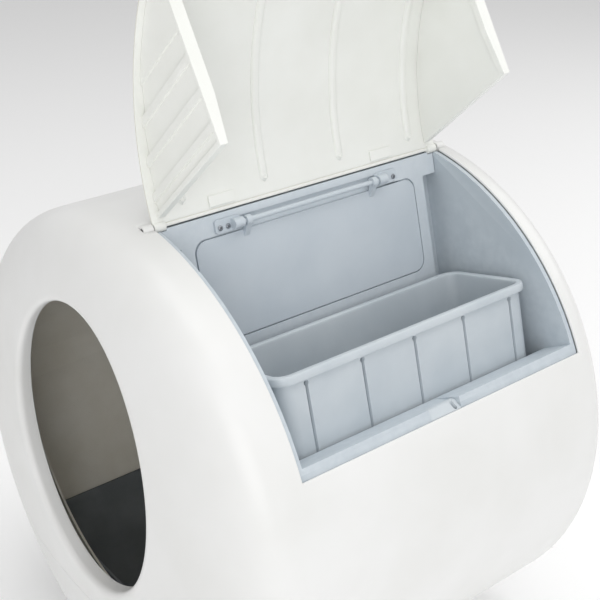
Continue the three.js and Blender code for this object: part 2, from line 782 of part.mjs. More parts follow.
function buildChamber() {
  const y0 = frontY + linerFront;
  const y1 = frontY + linerBack;
  const outer = rod(linerRadius, y0, y1, 0, 0, 84);
  const hollow = rod(linerRadius - linerWall, y0 + linerWall, y1 - linerWall, 0, 0, 84);
  let liner = outer.subtract(hollow);
  liner = liner.subtract(box(-far, far, -far, far, -far, -panRim - linerOverlap));
  const doorWidth = entranceHalfWidth + linerDoorMargin;
  const doorHeight = entranceHalfHeight + linerDoorMargin;
  liner = liner.subtract(ellipseRod(doorWidth, doorHeight, y0 - 1, y0 + 20, entranceRise));
  const tubSpace = alongY(bayHollow(tubWall + tubClearance), bayY0 - tubClearance, bayY1 + tubClearance);
  liner = liner.subtract(turned(tubSpace));
  liner = liner.subtract(rod(shaftRadius + shaftClearance, y1 - 20, y1 + 1));
  place(drum, "chamber_liner", liner, offWhite);
}

function buildPan() {
  const y0 = frontY + panFront;
  const y1 = frontY + linerBack - linerWall - panEndGap;
  const below = (depth) => box(-far, far, -far, far, -far, -depth);
  const outer = rod(panRadius, y0, y1, 0, 0, 72).intersect(below(panRim));
  const inner = rod(panRadius - panWall, y0 + panWall, y1 - panWall, 0, 0, 72).intersect(below(panRim - 1));
  place(drum, "litter_pan", outer.subtract(inner), charcoal);
}

// ---------- rake and drive ----------
const armBackGap = 6; // from the liner's back wall to the arm
const armThickness = 14;
const armRoot = 14; // half the arm's width at the hub
const armTip = 9;
const hubRadius = 20;
const combFrontGap = 22; // from the pan's front to the comb
const barHeight = 12;
const barHalf = 8;
const tineLength = 34; // from the foot of the bar to the tips
const tineHalf = 2;
const tineDepth = 2.5;
const collarFlange = 5;
const rake = new THREE.Group(); // modelled pointing up, then parked
rake.rotation.y = radians(rakeParkAngle);
drum.add(rake);

function buildRake() {
  const back = frontY + linerBack - linerWall;
  const armY1 = back - armBackGap;
  const armY0 = armY1 - armThickness;
  const combY0 = frontY + panFront + combFrontGap;
  const barTop = rakeRadius - tineLength;
  const hub = rod(hubRadius, armY0, armY1, 0, 0, 32);
  const arm = alongY(
    outline([
      [-armRoot, 0],
      [armRoot, 0],
      [armTip, barTop],
      [-armTip, barTop],
    ]),
    armY0,
    armY1,
  );
  const bore = rod(shaftRadius + gap, armY0 - 1, armY1 + 1);
  place(rake, "rake_arm", union(hub, arm).subtract(bore), charcoal);

  let comb = box(-barHalf, barHalf, combY0, armY1, barTop + gap, barTop + barHeight);
  const pitch = (armY1 - combY0 - 4 * tineHalf) / (tineCount - 1);
  for (let i = 0; i < tineCount; i++) {
    const y = combY0 + 2 * tineHalf + i * pitch;
    comb = comb.add(box(-tineDepth, tineDepth, y - tineHalf, y + tineHalf, barTop + barHeight - 2, rakeRadius));
  }
  place(rake, "rake_comb", comb, charcoal);

  const shaftEnd = gearboxY - gap;
  const shaft = rod(shaftRadius, armY0 - 3, shaftEnd, 0, 0, 24);
  const collar = rod(shaftRadius + collarFlange, armY0 - 5, armY0 - gap, 0, 0, 24);
  place(rake, "drive_shaft", union(shaft, collar), steel);
}

const gearboxY = frontY + linerBack + panEndGap;
const gearboxLength = 26;
const gearboxHalf = 34;
const gearboxLow = -48;
const gearboxHigh = 30;
const motorRadius = 18;
const motorLength = 36;
const motorDrop = 22; // from the shaft down to the motor's axis
const boardOuter = -100;
const boardInner = -42;
const boardLow = -30;
const boardHigh = 50;
const boardThickness = 1.6;
const boardGap = 4;

function buildDrive() {
  const y0 = gearboxY;
  const y1 = y0 + gearboxLength;
  const plate = roundedOutline(-gearboxHalf, gearboxHalf, gearboxLow, gearboxHigh, 8);
  place(drum, "gearbox", alongY(plate, y0, y1, 4), zinc);
  place(drum, "motor", rod(motorRadius, y1 + gap, y1 + motorLength, 0, -motorDrop, 32), steel);
  const boardY = y1 + boardGap;
  const circuit = box(boardOuter, boardInner, boardY, boardY + boardThickness, boardLow, boardHigh);
  place(drum, "control_board", circuit, board);
}

buildShells();
buildFeet();
buildRearPanel();
buildTub();
buildCatch();
buildPartition();
buildBrackets();
buildFlap();
buildBin();
buildLid();
buildLidHinges();
buildChamber();
buildPan();
buildRake();
buildDrive();

// The entrance takes the foremost part of the dome away, so the barrel is centred by what is left.
const extent = new THREE.Box3().setFromObject(drum);
drum.position.y = -(extent.min.y + extent.max.y) / 2;

const litterBox = new THREE.Group();
litterBox.add(drum);
export default litterBox;
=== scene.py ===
import json
import math
import bmesh
import bpy
from mathutils import Matrix, Vector


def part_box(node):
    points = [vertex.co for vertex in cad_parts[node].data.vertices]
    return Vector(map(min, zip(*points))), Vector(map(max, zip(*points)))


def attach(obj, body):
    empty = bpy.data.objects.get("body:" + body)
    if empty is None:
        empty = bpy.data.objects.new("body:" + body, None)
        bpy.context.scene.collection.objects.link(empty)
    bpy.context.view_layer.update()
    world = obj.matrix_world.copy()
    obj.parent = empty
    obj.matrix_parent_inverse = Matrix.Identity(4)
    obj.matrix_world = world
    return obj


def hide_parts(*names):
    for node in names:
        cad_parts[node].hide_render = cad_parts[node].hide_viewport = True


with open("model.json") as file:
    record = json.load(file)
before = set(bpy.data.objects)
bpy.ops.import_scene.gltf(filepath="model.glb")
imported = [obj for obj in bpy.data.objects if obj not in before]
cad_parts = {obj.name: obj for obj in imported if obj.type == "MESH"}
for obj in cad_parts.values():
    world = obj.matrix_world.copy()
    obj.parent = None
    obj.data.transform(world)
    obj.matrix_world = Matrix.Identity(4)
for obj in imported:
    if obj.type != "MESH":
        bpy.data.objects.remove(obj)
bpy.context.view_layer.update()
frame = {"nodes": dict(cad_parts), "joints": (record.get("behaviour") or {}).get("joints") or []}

mm = 0.001
joints = {j["name"]: j for j in frame["joints"]}


# places taken from the frame
drive = joints["rake_turn"]["pos_m"]
axisZ = drive[2]
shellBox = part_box("hood_shell")
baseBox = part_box("base_shell")
barrelRadius = shellBox[1].x
rearY = baseBox[1].y
barrelLength = 477 * mm
poleY = rearY - barrelLength  # where the dome would close if the entrance weren't cut
hinge = Vector(joints["lid_hinge"]["pos_m"])
flapAxis = Vector(joints["flap_hinge"]["pos_m"])
tilt = math.radians(15)  # the bay leans back round the barrel's axis


# a point given outwards, along and up in the leaning bay
def inBay(u, y, w):
    x = u * math.cos(tilt) - w * math.sin(tilt)
    z = u * math.sin(tilt) + w * math.cos(tilt)
    return Vector((x, y, z + axisZ))


# lowest and highest u, y, w of a CAD node
def bayBox(node):
    low, high = Vector((9, 9, 9)), Vector((-9, -9, -9))
    for vertex in frame["nodes"][node].data.vertices:
        x, y, z = vertex.co.x, vertex.co.y, vertex.co.z - axisZ
        point = (x * math.cos(tilt) + z * math.sin(tilt), y, z * math.cos(tilt) - x * math.sin(tilt))
        low = Vector(map(min, low, point))
        high = Vector(map(max, high, point))
    return low, high


# a point round the barrel, with the angle in degrees from straight up
def onDrum(radius, angle, y):
    turn = math.radians(angle)
    return Vector((radius * math.sin(turn), y, axisZ + radius * math.cos(turn)))


tubBox = bayBox("bay_tub")
bayY0 = tubBox[0].y - 0.3 * mm
bayY1 = tubBox[1].y + 0.3 * mm
bayMid = (bayY0 + bayY1) / 2
print("frame loaded, bay from", round(bayY0, 4), "to", round(bayY1, 4))


# mesh helpers
def pieceFrom(name, points, faces):
    mesh = bpy.data.meshes.new(name)
    mesh.from_pydata([tuple(p) for p in points], [], faces)
    mesh.validate()
    obj = bpy.data.objects.new(name, mesh)
    bpy.context.scene.collection.objects.link(obj)
    return obj


def fromBmesh(name, bm):
    mesh = bpy.data.meshes.new(name)
    bm.to_mesh(mesh)
    bm.free()
    obj = bpy.data.objects.new(name, mesh)
    bpy.context.scene.collection.objects.link(obj)
    return obj


# applies the modifiers
def bake(obj):
    bpy.context.view_layer.update()
    graph = bpy.context.evaluated_depsgraph_get()
    mesh = bpy.data.meshes.new_from_object(obj.evaluated_get(graph))
    obj.modifiers.clear()
    obj.data = mesh


def shadeSoft(obj, angle=35):
    for face in obj.data.polygons:
        face.use_smooth = True
    obj.data.set_sharp_from_angle(angle=math.radians(angle))


# rounds the sharp edges and shades the rest smooth
def soften(obj, width, segments=2, angle=32, clamp=True):
    bevel = obj.modifiers.new("edge", "BEVEL")
    bevel.width = width
    bevel.segments = segments
    bevel.limit_method = "ANGLE"
    bevel.angle_limit = math.radians(angle)
    bevel.use_clamp_overlap = clamp
    bevel.miter_outer = "MITER_ARC"
    bake(obj)
    shadeSoft(obj)
    weighted = obj.modifiers.new("normals", "WEIGHTED_NORMAL")
    weighted.keep_sharp = True
    bake(obj)


def cutWith(obj, tool, operation="DIFFERENCE"):
    cut = obj.modifiers.new("cut", "BOOLEAN")
    cut.operation = operation
    cut.solver = "EXACT"
    cut.object = tool
    bake(obj)
    bpy.data.objects.remove(tool)


def rodAlongY(name, x, z, y0, y1, radius, segments=48):
    bm = bmesh.new()
    bmesh.ops.create_cone(bm, cap_ends=True, segments=segments, radius1=radius, radius2=radius, depth=y1 - y0)
    bmesh.ops.rotate(bm, cent=(0, 0, 0), matrix=Matrix.Rotation(math.pi / 2, 3, "X"), verts=bm.verts)
    bmesh.ops.translate(bm, vec=(x, (y0 + y1) / 2, z), verts=bm.verts)
    return fromBmesh(name, bm)


# a fresh mesh in a CAD node's place, with its flat faces whole and its edges rounded
def refined(node, name, width=0.5 * mm, segments=2):
    bm = bmesh.new()
    bm.from_mesh(frame["nodes"][node].data)
    bmesh.ops.remove_doubles(bm, verts=bm.verts, dist=0.02 * mm)
    bmesh.ops.dissolve_limit(bm, angle_limit=math.radians(2), verts=bm.verts, edges=bm.edges)
    obj = fromBmesh(name, bm)
    if width:
        soften(obj, width, segments)
    return obj


# a piece's material and its body
def dress(obj, material, body):
    obj.data.materials.clear()
    obj.data.materials.append(material)
    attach(obj, body)


# the same for a piece that stands for CAD nodes
def settle(obj, material, body, nodes):
    dress(obj, material, body)
    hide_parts(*nodes)


# evenly filled values that keep every stop
def spread(stops, step):
    values = [stops[0]]
    for a, b in zip(stops, stops[1:]):
        count = max(1, round(abs(b - a) / step))
        values += [a + (b - a) * (i + 1) / count for i in range(count)]
    return values


def loftFaces(rows, columns, closed=False, skip=None):
    faces = []
    for i in range(rows - 1):
        for j in range(columns if closed else columns - 1):
            if skip and skip(i, j):
                continue
            k = (j + 1) % columns
            faces.append((i * columns + j, i * columns + k, (i + 1) * columns + k, (i + 1) * columns + j))
    return faces


# the same with both ends closed
def closedLoft(rows, columns):
    first, last = range(columns), range((rows - 1) * columns, rows * columns)
    return loftFaces(rows, columns, closed=True) + [tuple(reversed(first)), tuple(last)]


# makes the faces of a closed piece look outwards, and closes its seams on the way
def turnOutwards(obj, seam=0.0):
    bm = bmesh.new()
    bm.from_mesh(obj.data)
    if seam:
        bmesh.ops.remove_doubles(bm, verts=bm.verts, dist=seam)
    bmesh.ops.recalc_face_normals(bm, faces=bm.faces)
    bm.to_mesh(obj.data)
    bm.free()


# rings of points round an axis, one for each radius and height
def turnedRings(levels, centre, side, other, along, steps):
    points = []
    for r, h in levels:
        for s in range(steps):
            turn = 2 * math.pi * s / steps
            points.append(centre + along * h + side * (r * math.cos(turn)) + other * (r * math.sin(turn)))
    return points


# turns every face over if the one nearest the sample looks the wrong way
def faceOut(obj, sample, outward):
    nearest = min(obj.data.polygons, key=lambda f: (f.center - sample).length)
    if nearest.normal.dot(outward) < 0:
        obj.data.flip_normals()


# materials
# an sRGB hex colour as linear numbers
def linear(code, alpha=1.0):
    parts = [int(code[i:i + 2], 16) / 255 for i in (0, 2, 4)]
    return tuple(c / 12.92 if c <= 0.04045 else ((c + 0.055) / 1.055) ** 2.4 for c in parts) + (alpha,)


def addNode(tree, kind, inputs=None, **settings):
    node = tree.nodes.new("ShaderNode" + kind)
    for key, value in settings.items():
        setattr(node, key, value)
    for key, value in (inputs or {}).items():
        if isinstance(value, bpy.types.NodeSocket):
            tree.links.new(value, node.inputs[key])
        else:
            node.inputs[key].default_value = value
    return node


def newMaterial(name):
    made = bpy.data.materials.new(name)
    made.use_nodes = True
    made.node_tree.nodes.clear()
    return made, made.node_tree


def finishMaterial(made, tree, shader):
    output = addNode(tree, "OutputMaterial")
    tree.links.new(shader.outputs["BSDF"], output.inputs["Surface"])
    return made


# injection-moulded plastic: slow flow shading, spark-eroded grain, sink waves, scuffed shine, pale worn
# edges, hollows with dust and painted shade
def mouldedPlastic(look):
    made, tree = newMaterial(look["name"])
    place = addNode(tree, "TexCoord").outputs["Object"]
    flow = addNode(tree, "TexNoise", {"Vector": place, "Scale": 1 / look["flow"], "Detail": 3.0,
                                      "Roughness": 0.55})
    flowShare = addNode(tree, "MapRange", {"Value": flow.outputs["Fac"], "From Min": 0.35, "From Max": 0.65})
    body = addNode(tree, "Mix", {"Factor": flowShare.outputs["Result"]}, data_type="RGBA")
    body.inputs[6].default_value = linear(look["colour"])
    body.inputs[7].default_value = linear(look["shade"])

    speck = addNode(tree, "TexNoise", {"Vector": place, "Scale": 1 / look["speck"], "Detail": 2.0})
    speckShare = addNode(tree, "MapRange", {"Value": speck.outputs["Fac"], "From Min": 0.62, "From Max": 0.8,
                                            "To Max": look["speckAmount"]})
    specked = addNode(tree, "Mix", {"Factor": speckShare.outputs["Result"], 6: body.outputs[2]},
                      data_type="RGBA")
    specked.inputs[7].default_value = linear(look["speckColour"])

    edge = addNode(tree, "NewGeometry").outputs["Pointiness"]
    rub = addNode(tree, "TexNoise", {"Vector": place, "Scale": 1 / (9 * mm), "Detail": 4.0})
    raised = addNode(tree, "MapRange", {"Value": edge, "From Min": 0.53, "From Max": 0.62,
                                        "To Max": look["worn"]})
    broken = addNode(tree, "Math", {0: raised.outputs["Result"], 1: rub.outputs["Fac"]}, operation="MULTIPLY")
    wornBody = addNode(tree, "Mix", {"Factor": broken.outputs["Value"], 6: specked.outputs[2]},
                       data_type="RGBA")
    wornBody.inputs[7].default_value = linear(look["wornColour"])

    # hollows: pale dust on the dark plastics and rubber, painted shade on the light plastics
    hollow = addNode(tree, "MapRange", {"Value": edge, "From Min": 0.47, "From Max": 0.40,
                                        "To Max": look["dustAndShade"]})
    dustyAndShaded = addNode(tree, "Mix", {"Factor": hollow.outputs["Result"], 6: wornBody.outputs[2]},
                    data_type="RGBA")
    dustyAndShaded.inputs[7].default_value = linear(look["dustAndShadeColour"])

    wipe = addNode(tree, "Mapping", {"Vector": place, "Scale": (1.0, 0.22, 1.0)})
    scuff = addNode(tree, "TexNoise", {"Vector": wipe.outputs["Vector"], "Scale": 1 / look["scuff"],
                                       "Detail": 5.0, "Roughness": 0.65})
    rough = addNode(tree, "MapRange", {"Value": scuff.outputs["Fac"], "From Min": 0.3, "From Max": 0.7,
                                       "To Min": look["roughness"] - look["scuffAmount"],
                                       "To Max": look["roughness"] + look["scuffAmount"]})

    sink = addNode(tree, "TexNoise", {"Vector": place, "Scale": 1 / look["sink"], "Detail": 1.0})
    wave = addNode(tree, "Bump", {"Height": sink.outputs["Fac"], "Strength": 0.25,
                                  "Distance": look["sinkDepth"]})
    grain = addNode(tree, "TexVoronoi", {"Vector": place, "Scale": 1 / look["grain"]}, feature="SMOOTH_F1")
    skin = addNode(tree, "Bump", {"Height": grain.outputs["Distance"], "Strength": look["grainStrength"],
                                  "Distance": look["grainDepth"], "Normal": wave.outputs["Normal"]})
    shader = addNode(tree, "BsdfPrincipled", {"Base Color": dustyAndShaded.outputs[2],
                                              "Roughness": rough.outputs["Result"],
                                              "Normal": skin.outputs["Normal"]})
    shader.inputs["IOR"].default_value = look["ior"]
    shader.inputs["Metallic"].default_value = 0.0
    shader.inputs["Specular IOR Level"].default_value = look.get("specular", 0.5)
    return finishMaterial(made, tree, shader)


# metal with a drawn or plated skin: fine lines one way, cloudy roughness and darker hollows
def platedMetal(look):
    made, tree = newMaterial(look["name"])
    place = addNode(tree, "TexCoord").outputs["Object"]
    drawn = addNode(tree, "Mapping", {"Vector": place, "Scale": look["lineScale"]})
    lines = addNode(tree, "TexNoise", {"Vector": drawn.outputs["Vector"], "Scale": 1 / look["line"],
                                       "Detail": 4.0})
    cloud = addNode(tree, "TexNoise", {"Vector": place, "Scale": 1 / look["cloud"], "Detail": 3.0})
    share = addNode(tree, "MapRange", {"Value": cloud.outputs["Fac"], "From Min": 0.35, "From Max": 0.65})
    colour = addNode(tree, "Mix", {"Factor": share.outputs["Result"]}, data_type="RGBA")
    colour.inputs[6].default_value = linear(look["colour"])
    colour.inputs[7].default_value = linear(look["shade"])
    edge = addNode(tree, "NewGeometry").outputs["Pointiness"]
    hollow = addNode(tree, "MapRange", {"Value": edge, "From Min": 0.48, "From Max": 0.40, "To Max": 0.7})
    grimy = addNode(tree, "Mix", {"Factor": hollow.outputs["Result"], 6: colour.outputs[2]}, data_type="RGBA")
    grimy.inputs[7].default_value = linear(look["grime"])
    rough = addNode(tree, "MapRange", {"Value": lines.outputs["Fac"], "From Min": 0.3, "From Max": 0.7,
                                       "To Min": look["roughness"] - 0.08,
                                       "To Max": look["roughness"] + 0.12})
    bump = addNode(tree, "Bump", {"Height": lines.outputs["Fac"], "Strength": 0.2,
                                  "Distance": look["lineDepth"]})
    shader = addNode(tree, "BsdfPrincipled", {"Base Color": grimy.outputs[2],
                                              "Roughness": rough.outputs["Result"],
                                              "Normal": bump.outputs["Normal"]})
    shader.inputs["Metallic"].default_value = 1.0
    return finishMaterial(made, tree, shader)


# smooth, lightly polished ABS: a clean white with faint cream flow and a soft sheen on the round sides
shellPlastic = mouldedPlastic({
    "name": "ABS white, polished tool", "colour": "E9E9E8", "shade": "E4E4E2", "flow": 130 * mm,
    "speck": 1.1 * mm, "speckColour": "E1E0DC", "speckAmount": 0.25, "worn": 0.5, "wornColour": "FBFBFA",
    "dustAndShade": 0.5, "dustAndShadeColour": "C9C6BC", "roughness": 0.36, "scuff": 34 * mm, "scuffAmount": 0.07,
    "sink": 110 * mm, "sinkDepth": 0.5 * mm, "grain": 0.8 * mm,
    "grainStrength": 0.10, "grainDepth": 0.03 * mm, "ior": 1.54, "specular": 0.45,
})
# the lid comes off the tool with a finer matt grain, so it reads warmer and flatter than the shell
lidPlastic = mouldedPlastic({
    "name": "ABS warm white, matt tool", "colour": "F0F1ED", "shade": "EBECE7", "flow": 90 * mm,
    "speck": 0.9 * mm, "speckColour": "DDDACB", "speckAmount": 0.22, "worn": 0.6, "wornColour": "FFFFFC",
    "dustAndShade": 0.75, "dustAndShadeColour": "CFCBB8", "roughness": 0.46, "scuff": 26 * mm, "scuffAmount": 0.07,
    "sink": 80 * mm, "sinkDepth": 0.4 * mm, "grain": 0.7 * mm,
    "grainStrength": 0.14, "grainDepth": 0.03 * mm, "ior": 1.54, "specular": 0.4,
})
# etched blue-grey ABS of the fixed parts in the bay: even, cool and almost without highlights
etchedGrey = {
    "name": "ABS blue-grey, etched tool", "colour": "C9D1D8", "shade": "C2CBD3", "flow": 75 * mm,
    "speck": 0.8 * mm, "speckColour": "9FAAB3", "speckAmount": 0.25, "worn": 0.7, "wornColour": "D7DEE3",
    "dustAndShade": 0.8, "dustAndShadeColour": "7F8A94", "roughness": 0.5, "scuff": 22 * mm, "scuffAmount": 0.08,
    "sink": 70 * mm, "sinkDepth": 0.35 * mm, "grain": 0.6 * mm,
    "grainStrength": 0.16, "grainDepth": 0.03 * mm, "ior": 1.54, "specular": 0.4,
}
bayPlastic = mouldedPlastic(etchedGrey)
# the deep tub: the bay's blue-grey, rougher and darker as painted shade, so its walls fall back behind the
# partition
tubPlasticShaded = mouldedPlastic({
    **etchedGrey, "name": "ABS blue-grey, painted shade", "colour": "BCC5CC", "shade": "B5BFC7",
    "flow": 95 * mm, "roughness": 0.56, "scuff": 30 * mm, "sink": 90 * mm, "grainStrength": 0.18,
})
# polypropylene of the waste bin: a waxy, lightly scuffed sheen with slow shading
binPlastic = mouldedPlastic({
    "name": "PP pale grey, semi-gloss tool", "colour": "C6CDD2", "shade": "BEC6CC", "flow": 60 * mm,
    "speck": 0.9 * mm, "speckColour": "A9B3BA", "speckAmount": 0.25, "worn": 0.7, "wornColour": "E1E7EB",
    "dustAndShade": 0.8, "dustAndShadeColour": "838E98", "roughness": 0.4, "scuff": 18 * mm, "scuffAmount": 0.1,
    "sink": 60 * mm, "sinkDepth": 0.4 * mm, "grain": 0.7 * mm,
    "grainStrength": 0.12, "grainDepth": 0.03 * mm, "ior": 1.49, "specular": 0.45,
})
# unpainted inner drum: off-white, dulled by use
linerPlastic = mouldedPlastic({
    "name": "PP off-white, matt tool", "colour": "F0ECE2", "shade": "E6E1D4", "flow": 70 * mm,
    "speck": 1.2 * mm, "speckColour": "A39D8C", "speckAmount": 0.3, "worn": 0.4, "wornColour": "DEDBD2",
    "dustAndShade": 0.6, "dustAndShadeColour": "8A8472", "roughness": 0.55, "scuff": 30 * mm, "scuffAmount": 0.12,
    "sink": 80 * mm, "sinkDepth": 0.4 * mm, "grain": 1.0 * mm,
    "grainStrength": 0.2, "grainDepth": 0.04 * mm, "ior": 1.49,
})
# charcoal pan and rake: coarse grain, with the raised edges worn to a paler grey
panPlastic = mouldedPlastic({
    "name": "PP charcoal, coarse grain", "colour": "7B8083", "shade": "6F7477", "flow": 45 * mm,
    "speck": 1.5 * mm, "speckColour": "868A8D", "speckAmount": 0.5, "worn": 0.9, "wornColour": "9A9DA0",
    "dustAndShade": 0.4, "dustAndShadeColour": "8C8676", "roughness": 0.62, "scuff": 12 * mm, "scuffAmount": 0.15,
    "sink": 50 * mm, "sinkDepth": 0.3 * mm, "grain": 1.0 * mm,
    "grainStrength": 0.35, "grainDepth": 0.06 * mm, "ior": 1.49,
})
# black nylon of the inlet: a grain as of glass fibre that breaks up the shine
inletPlastic = mouldedPlastic({
    "name": "PA black, glass filled", "colour": "1B1C1E", "shade": "232427", "flow": 12 * mm,
    "speck": 0.5 * mm, "speckColour": "3D3F42", "speckAmount": 0.5, "worn": 0.7, "wornColour": "505356",
    "dustAndShade": 0.5, "dustAndShadeColour": "6E6A60", "roughness": 0.45, "scuff": 5 * mm, "scuffAmount": 0.12,
    "sink": 10 * mm, "sinkDepth": 0.1 * mm, "grain": 0.35 * mm,
    "grainStrength": 0.3, "grainDepth": 0.03 * mm, "ior": 1.53,
})
# the button's cap: a like grey, rubbed shinier than the bay by pressing
buttonPlastic = mouldedPlastic({
    "name": "ABS grey, worn cap", "colour": "BDC4C9", "shade": "B3BBC1", "flow": 15 * mm,
    "speck": 0.6 * mm, "speckColour": "98A1A8", "speckAmount": 0.3, "worn": 0.8, "wornColour": "DADFE2",
    "dustAndShade": 0.8, "dustAndShadeColour": "6F7880", "roughness": 0.34, "scuff": 6 * mm, "scuffAmount": 0.1,
    "sink": 14 * mm, "sinkDepth": 0.1 * mm, "grain": 0.5 * mm,
    "grainStrength": 0.12, "grainDepth": 0.02 * mm, "ior": 1.54,
})
# moulded rubber of the feet: dull black with a dusty bloom
footRubber = mouldedPlastic({
    "name": "NBR black, dusty bloom", "colour": "2A2B2C", "shade": "38393A", "flow": 9 * mm,
    "speck": 0.9 * mm, "speckColour": "5C5B57", "speckAmount": 0.6, "worn": 0.6, "wornColour": "55565A",
    "dustAndShade": 0.9, "dustAndShadeColour": "77736A", "roughness": 0.82, "scuff": 7 * mm, "scuffAmount": 0.1,
    "sink": 16 * mm, "sinkDepth": 0.2 * mm, "grain": 0.6 * mm,
    "grainStrength": 0.5, "grainDepth": 0.06 * mm, "ior": 1.52,
})
# drawn steel: bright, with lines along the barrel's length
drawnSteel = platedMetal({
    "name": "steel, drawn and oiled", "colour": "BFC1C4", "shade": "A9ABAF", "grime": "4B4A47",
    "roughness": 0.28, "line": 0.35 * mm, "lineScale": (1.0, 0.03, 1.0),
    "lineDepth": 0.02 * mm, "cloud": 14 * mm,
})
# zinc plate: duller, cloudy and slightly blue
zincPlate = platedMetal({
    "name": "zinc plate, passivated", "colour": "A9ADB3", "shade": "8F949B", "grime": "55534D",
    "roughness": 0.42, "line": 0.5 * mm, "lineScale": (0.3, 1.0, 1.0),
    "lineDepth": 0.015 * mm, "cloud": 5 * mm,
})
print("materials made")


# shells
shell = {
    "wall": 3.0 * mm, "domeDepth": 73.8 * mm, "power": 2.92, "rearFillet": 32 * mm, "rearOpening": 120 * mm,
    "entranceHalfWidth": 124 * mm, "entranceHalfHeight": 155 * mm, "entranceRise": 49 * mm,
    "lip": 20 * mm, "lipRound": 8 * mm, "hingeEdge": 6.4, "latchEdge": 64.8, "edge": 0.9 * mm,
}
seamZ = baseBox[1].z
undersideZ = baseBox[0].z


# distance from the barrel's axis out to the oval, at an angle from straight up
def entranceRadius(angle):
    s, c = math.sin(math.radians(angle)), math.cos(math.radians(angle))
    a, b, rise = shell["entranceHalfWidth"], shell["entranceHalfHeight"], shell["entranceRise"]
    square = (s / a) ** 2 + (c / b) ** 2
    half = c * rise / b ** 2
    return (half + math.sqrt(half ** 2 - square * ((rise / b) ** 2 - 1))) / square


def domeAt(radius):
    turn = math.asin(min(1, (radius / barrelRadius) ** (shell["power"] / 2)))
    return poleY + shell["domeDepth"] * (1 - math.cos(turn) ** (2 / shell["power"]))


# radius and y down one line of the shell, from inside the entrance over the dome to the back
def shellProfile(angle):
    inner = entranceRadius(angle)
    edgeY = domeAt(inner)
    roundOff = shell["lipRound"]
    lipEnd = max(poleY + shell["lip"], edgeY + roundOff + 1 * mm)
    rows = [(inner, lipEnd), (inner, lipEnd * 0.5 + (edgeY + roundOff) * 0.5)]
    outer = inner + roundOff
    start, corner, end = (inner, edgeY + roundOff), (inner, edgeY), (outer, domeAt(outer))
    for i in range(7):
        t = i / 6
        a, b, c = (1 - t) ** 2, 2 * t * (1 - t), t * t
        rows.append(tuple(a * start[k] + b * corner[k] + c * end[k] for k in (0, 1)))
    first = math.asin((outer / barrelRadius) ** (shell["power"] / 2))
    for i in range(1, 27):
        t = 1 - (1 - i / 26) ** 1.7
        turn = first + (math.pi / 2 - first) * t
        back = 1 - max(0.0, math.cos(turn)) ** (2 / shell["power"])
        radius = barrelRadius * math.sin(turn) ** (2 / shell["power"])
        rows.append((radius, poleY + shell["domeDepth"] * back))
    fillet = shell["rearFillet"]
    for y in spread([poleY + shell["domeDepth"], bayY0, bayY1, rearY - fillet], 12 * mm)[1:]:
        rows.append((barrelRadius, y))
    for i in range(1, 9):
        turn = math.pi / 2 * i / 8
        rows.append((barrelRadius - fillet * (1 - math.cos(turn)), rearY - fillet * (1 - math.sin(turn))))
    for radius in spread([barrelRadius - fillet, shell["rearOpening"]], 16 * mm)[1:]:
        rows.append((radius, rearY))
    return rows


shellAngles = spread([-180, -120, 0, shell["hingeEdge"], shell["latchEdge"], 120, 180], 2.4)[:-1]
profiles = [shellProfile(angle) for angle in shellAngles]
shellRows = len(profiles[0])
shellPoints = []
for i in range(shellRows):
    shellPoints += [onDrum(line[i][0], angle, line[i][1]) for line, angle in zip(profiles, shellAngles)]


def inOpening(i, j):
    y = (profiles[j][i][1] + profiles[j][i + 1][1]) / 2
    angle = shellAngles[j]
    return (profiles[j][i][0] > barrelRadius - 0.01 * mm and bayY0 < y < bayY1
            and shell["hingeEdge"] - 0.01 <= angle < shell["latchEdge"] - 0.01)


def shellHalf(name, above):
    obj = pieceFrom(name, shellPoints, loftFaces(shellRows, len(shellAngles), closed=True, skip=inOpening))
    faceOut(obj, Vector((barrelRadius, 0, axisZ - 50 * mm)), Vector((1, 0, 0)))
    bm = bmesh.new()
    bm.from_mesh(obj.data)
    everything = bm.verts[:] + bm.edges[:] + bm.faces[:]
    level = seamZ + 0.3 * mm if above else seamZ
    bmesh.ops.bisect_plane(bm, geom=everything, plane_co=(0, 0, level), plane_no=(0, 0, 1),
                           clear_inner=above, clear_outer=not above)
    if not above:
        everything = bm.verts[:] + bm.edges[:] + bm.faces[:]
        cut = bmesh.ops.bisect_plane(bm, geom=everything, plane_co=(0, 0, undersideZ), plane_no=(0, 0, 1),
                                     clear_inner=True)
        rim = [e for e in cut["geom_cut"] if isinstance(e, bmesh.types.BMEdge)]
        bmesh.ops.triangle_fill(bm, edges=rim, use_beauty=True, normal=(0, 0, -1))
        bmesh.ops.recalc_face_normals(bm, faces=bm.faces)
    bmesh.ops.remove_doubles(bm, verts=bm.verts, dist=0.1 * mm)
    bm.to_mesh(obj.data)
    bm.free()
    faceOut(obj, Vector((barrelRadius, 0, seamZ + (60 * mm if above else -20 * mm))), Vector((1, 0, 0)))
    thick = obj.modifiers.new("wall", "SOLIDIFY")
    thick.thickness = shell["wall"]
    thick.offset = -1
    thick.use_even_offset = True
    bake(obj)
    soften(obj, shell["edge"], 3, 40, clamp=False)
    return obj


lugRoom = {"radius": 5.3 * mm, "intoBay": 13 * mm, "gap": 0.3 * mm}
hoodShell = shellHalf("hood_shell_moulded", True)
lugLeft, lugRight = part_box("hinge_lug_left"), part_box("hinge_lug_right")
for low, high in ((lugLeft[0].y, bayY0 + lugRoom["intoBay"]), (bayY1 - lugRoom["intoBay"], lugRight[1].y)):
    low, high = low - lugRoom["gap"], high + lugRoom["gap"]
    cutWith(hoodShell, rodAlongY("room", hinge.x, hinge.z, low, high, lugRoom["radius"]))
shadeSoft(hoodShell, 40)
settle(hoodShell, shellPlastic, "root", ["hood_shell"])
baseShell = shellHalf("base_shell_moulded", False)
settle(baseShell, shellPlastic, "root", ["base_shell"])
print("shells made", len(hoodShell.data.polygons), len(baseShell.data.polygons))


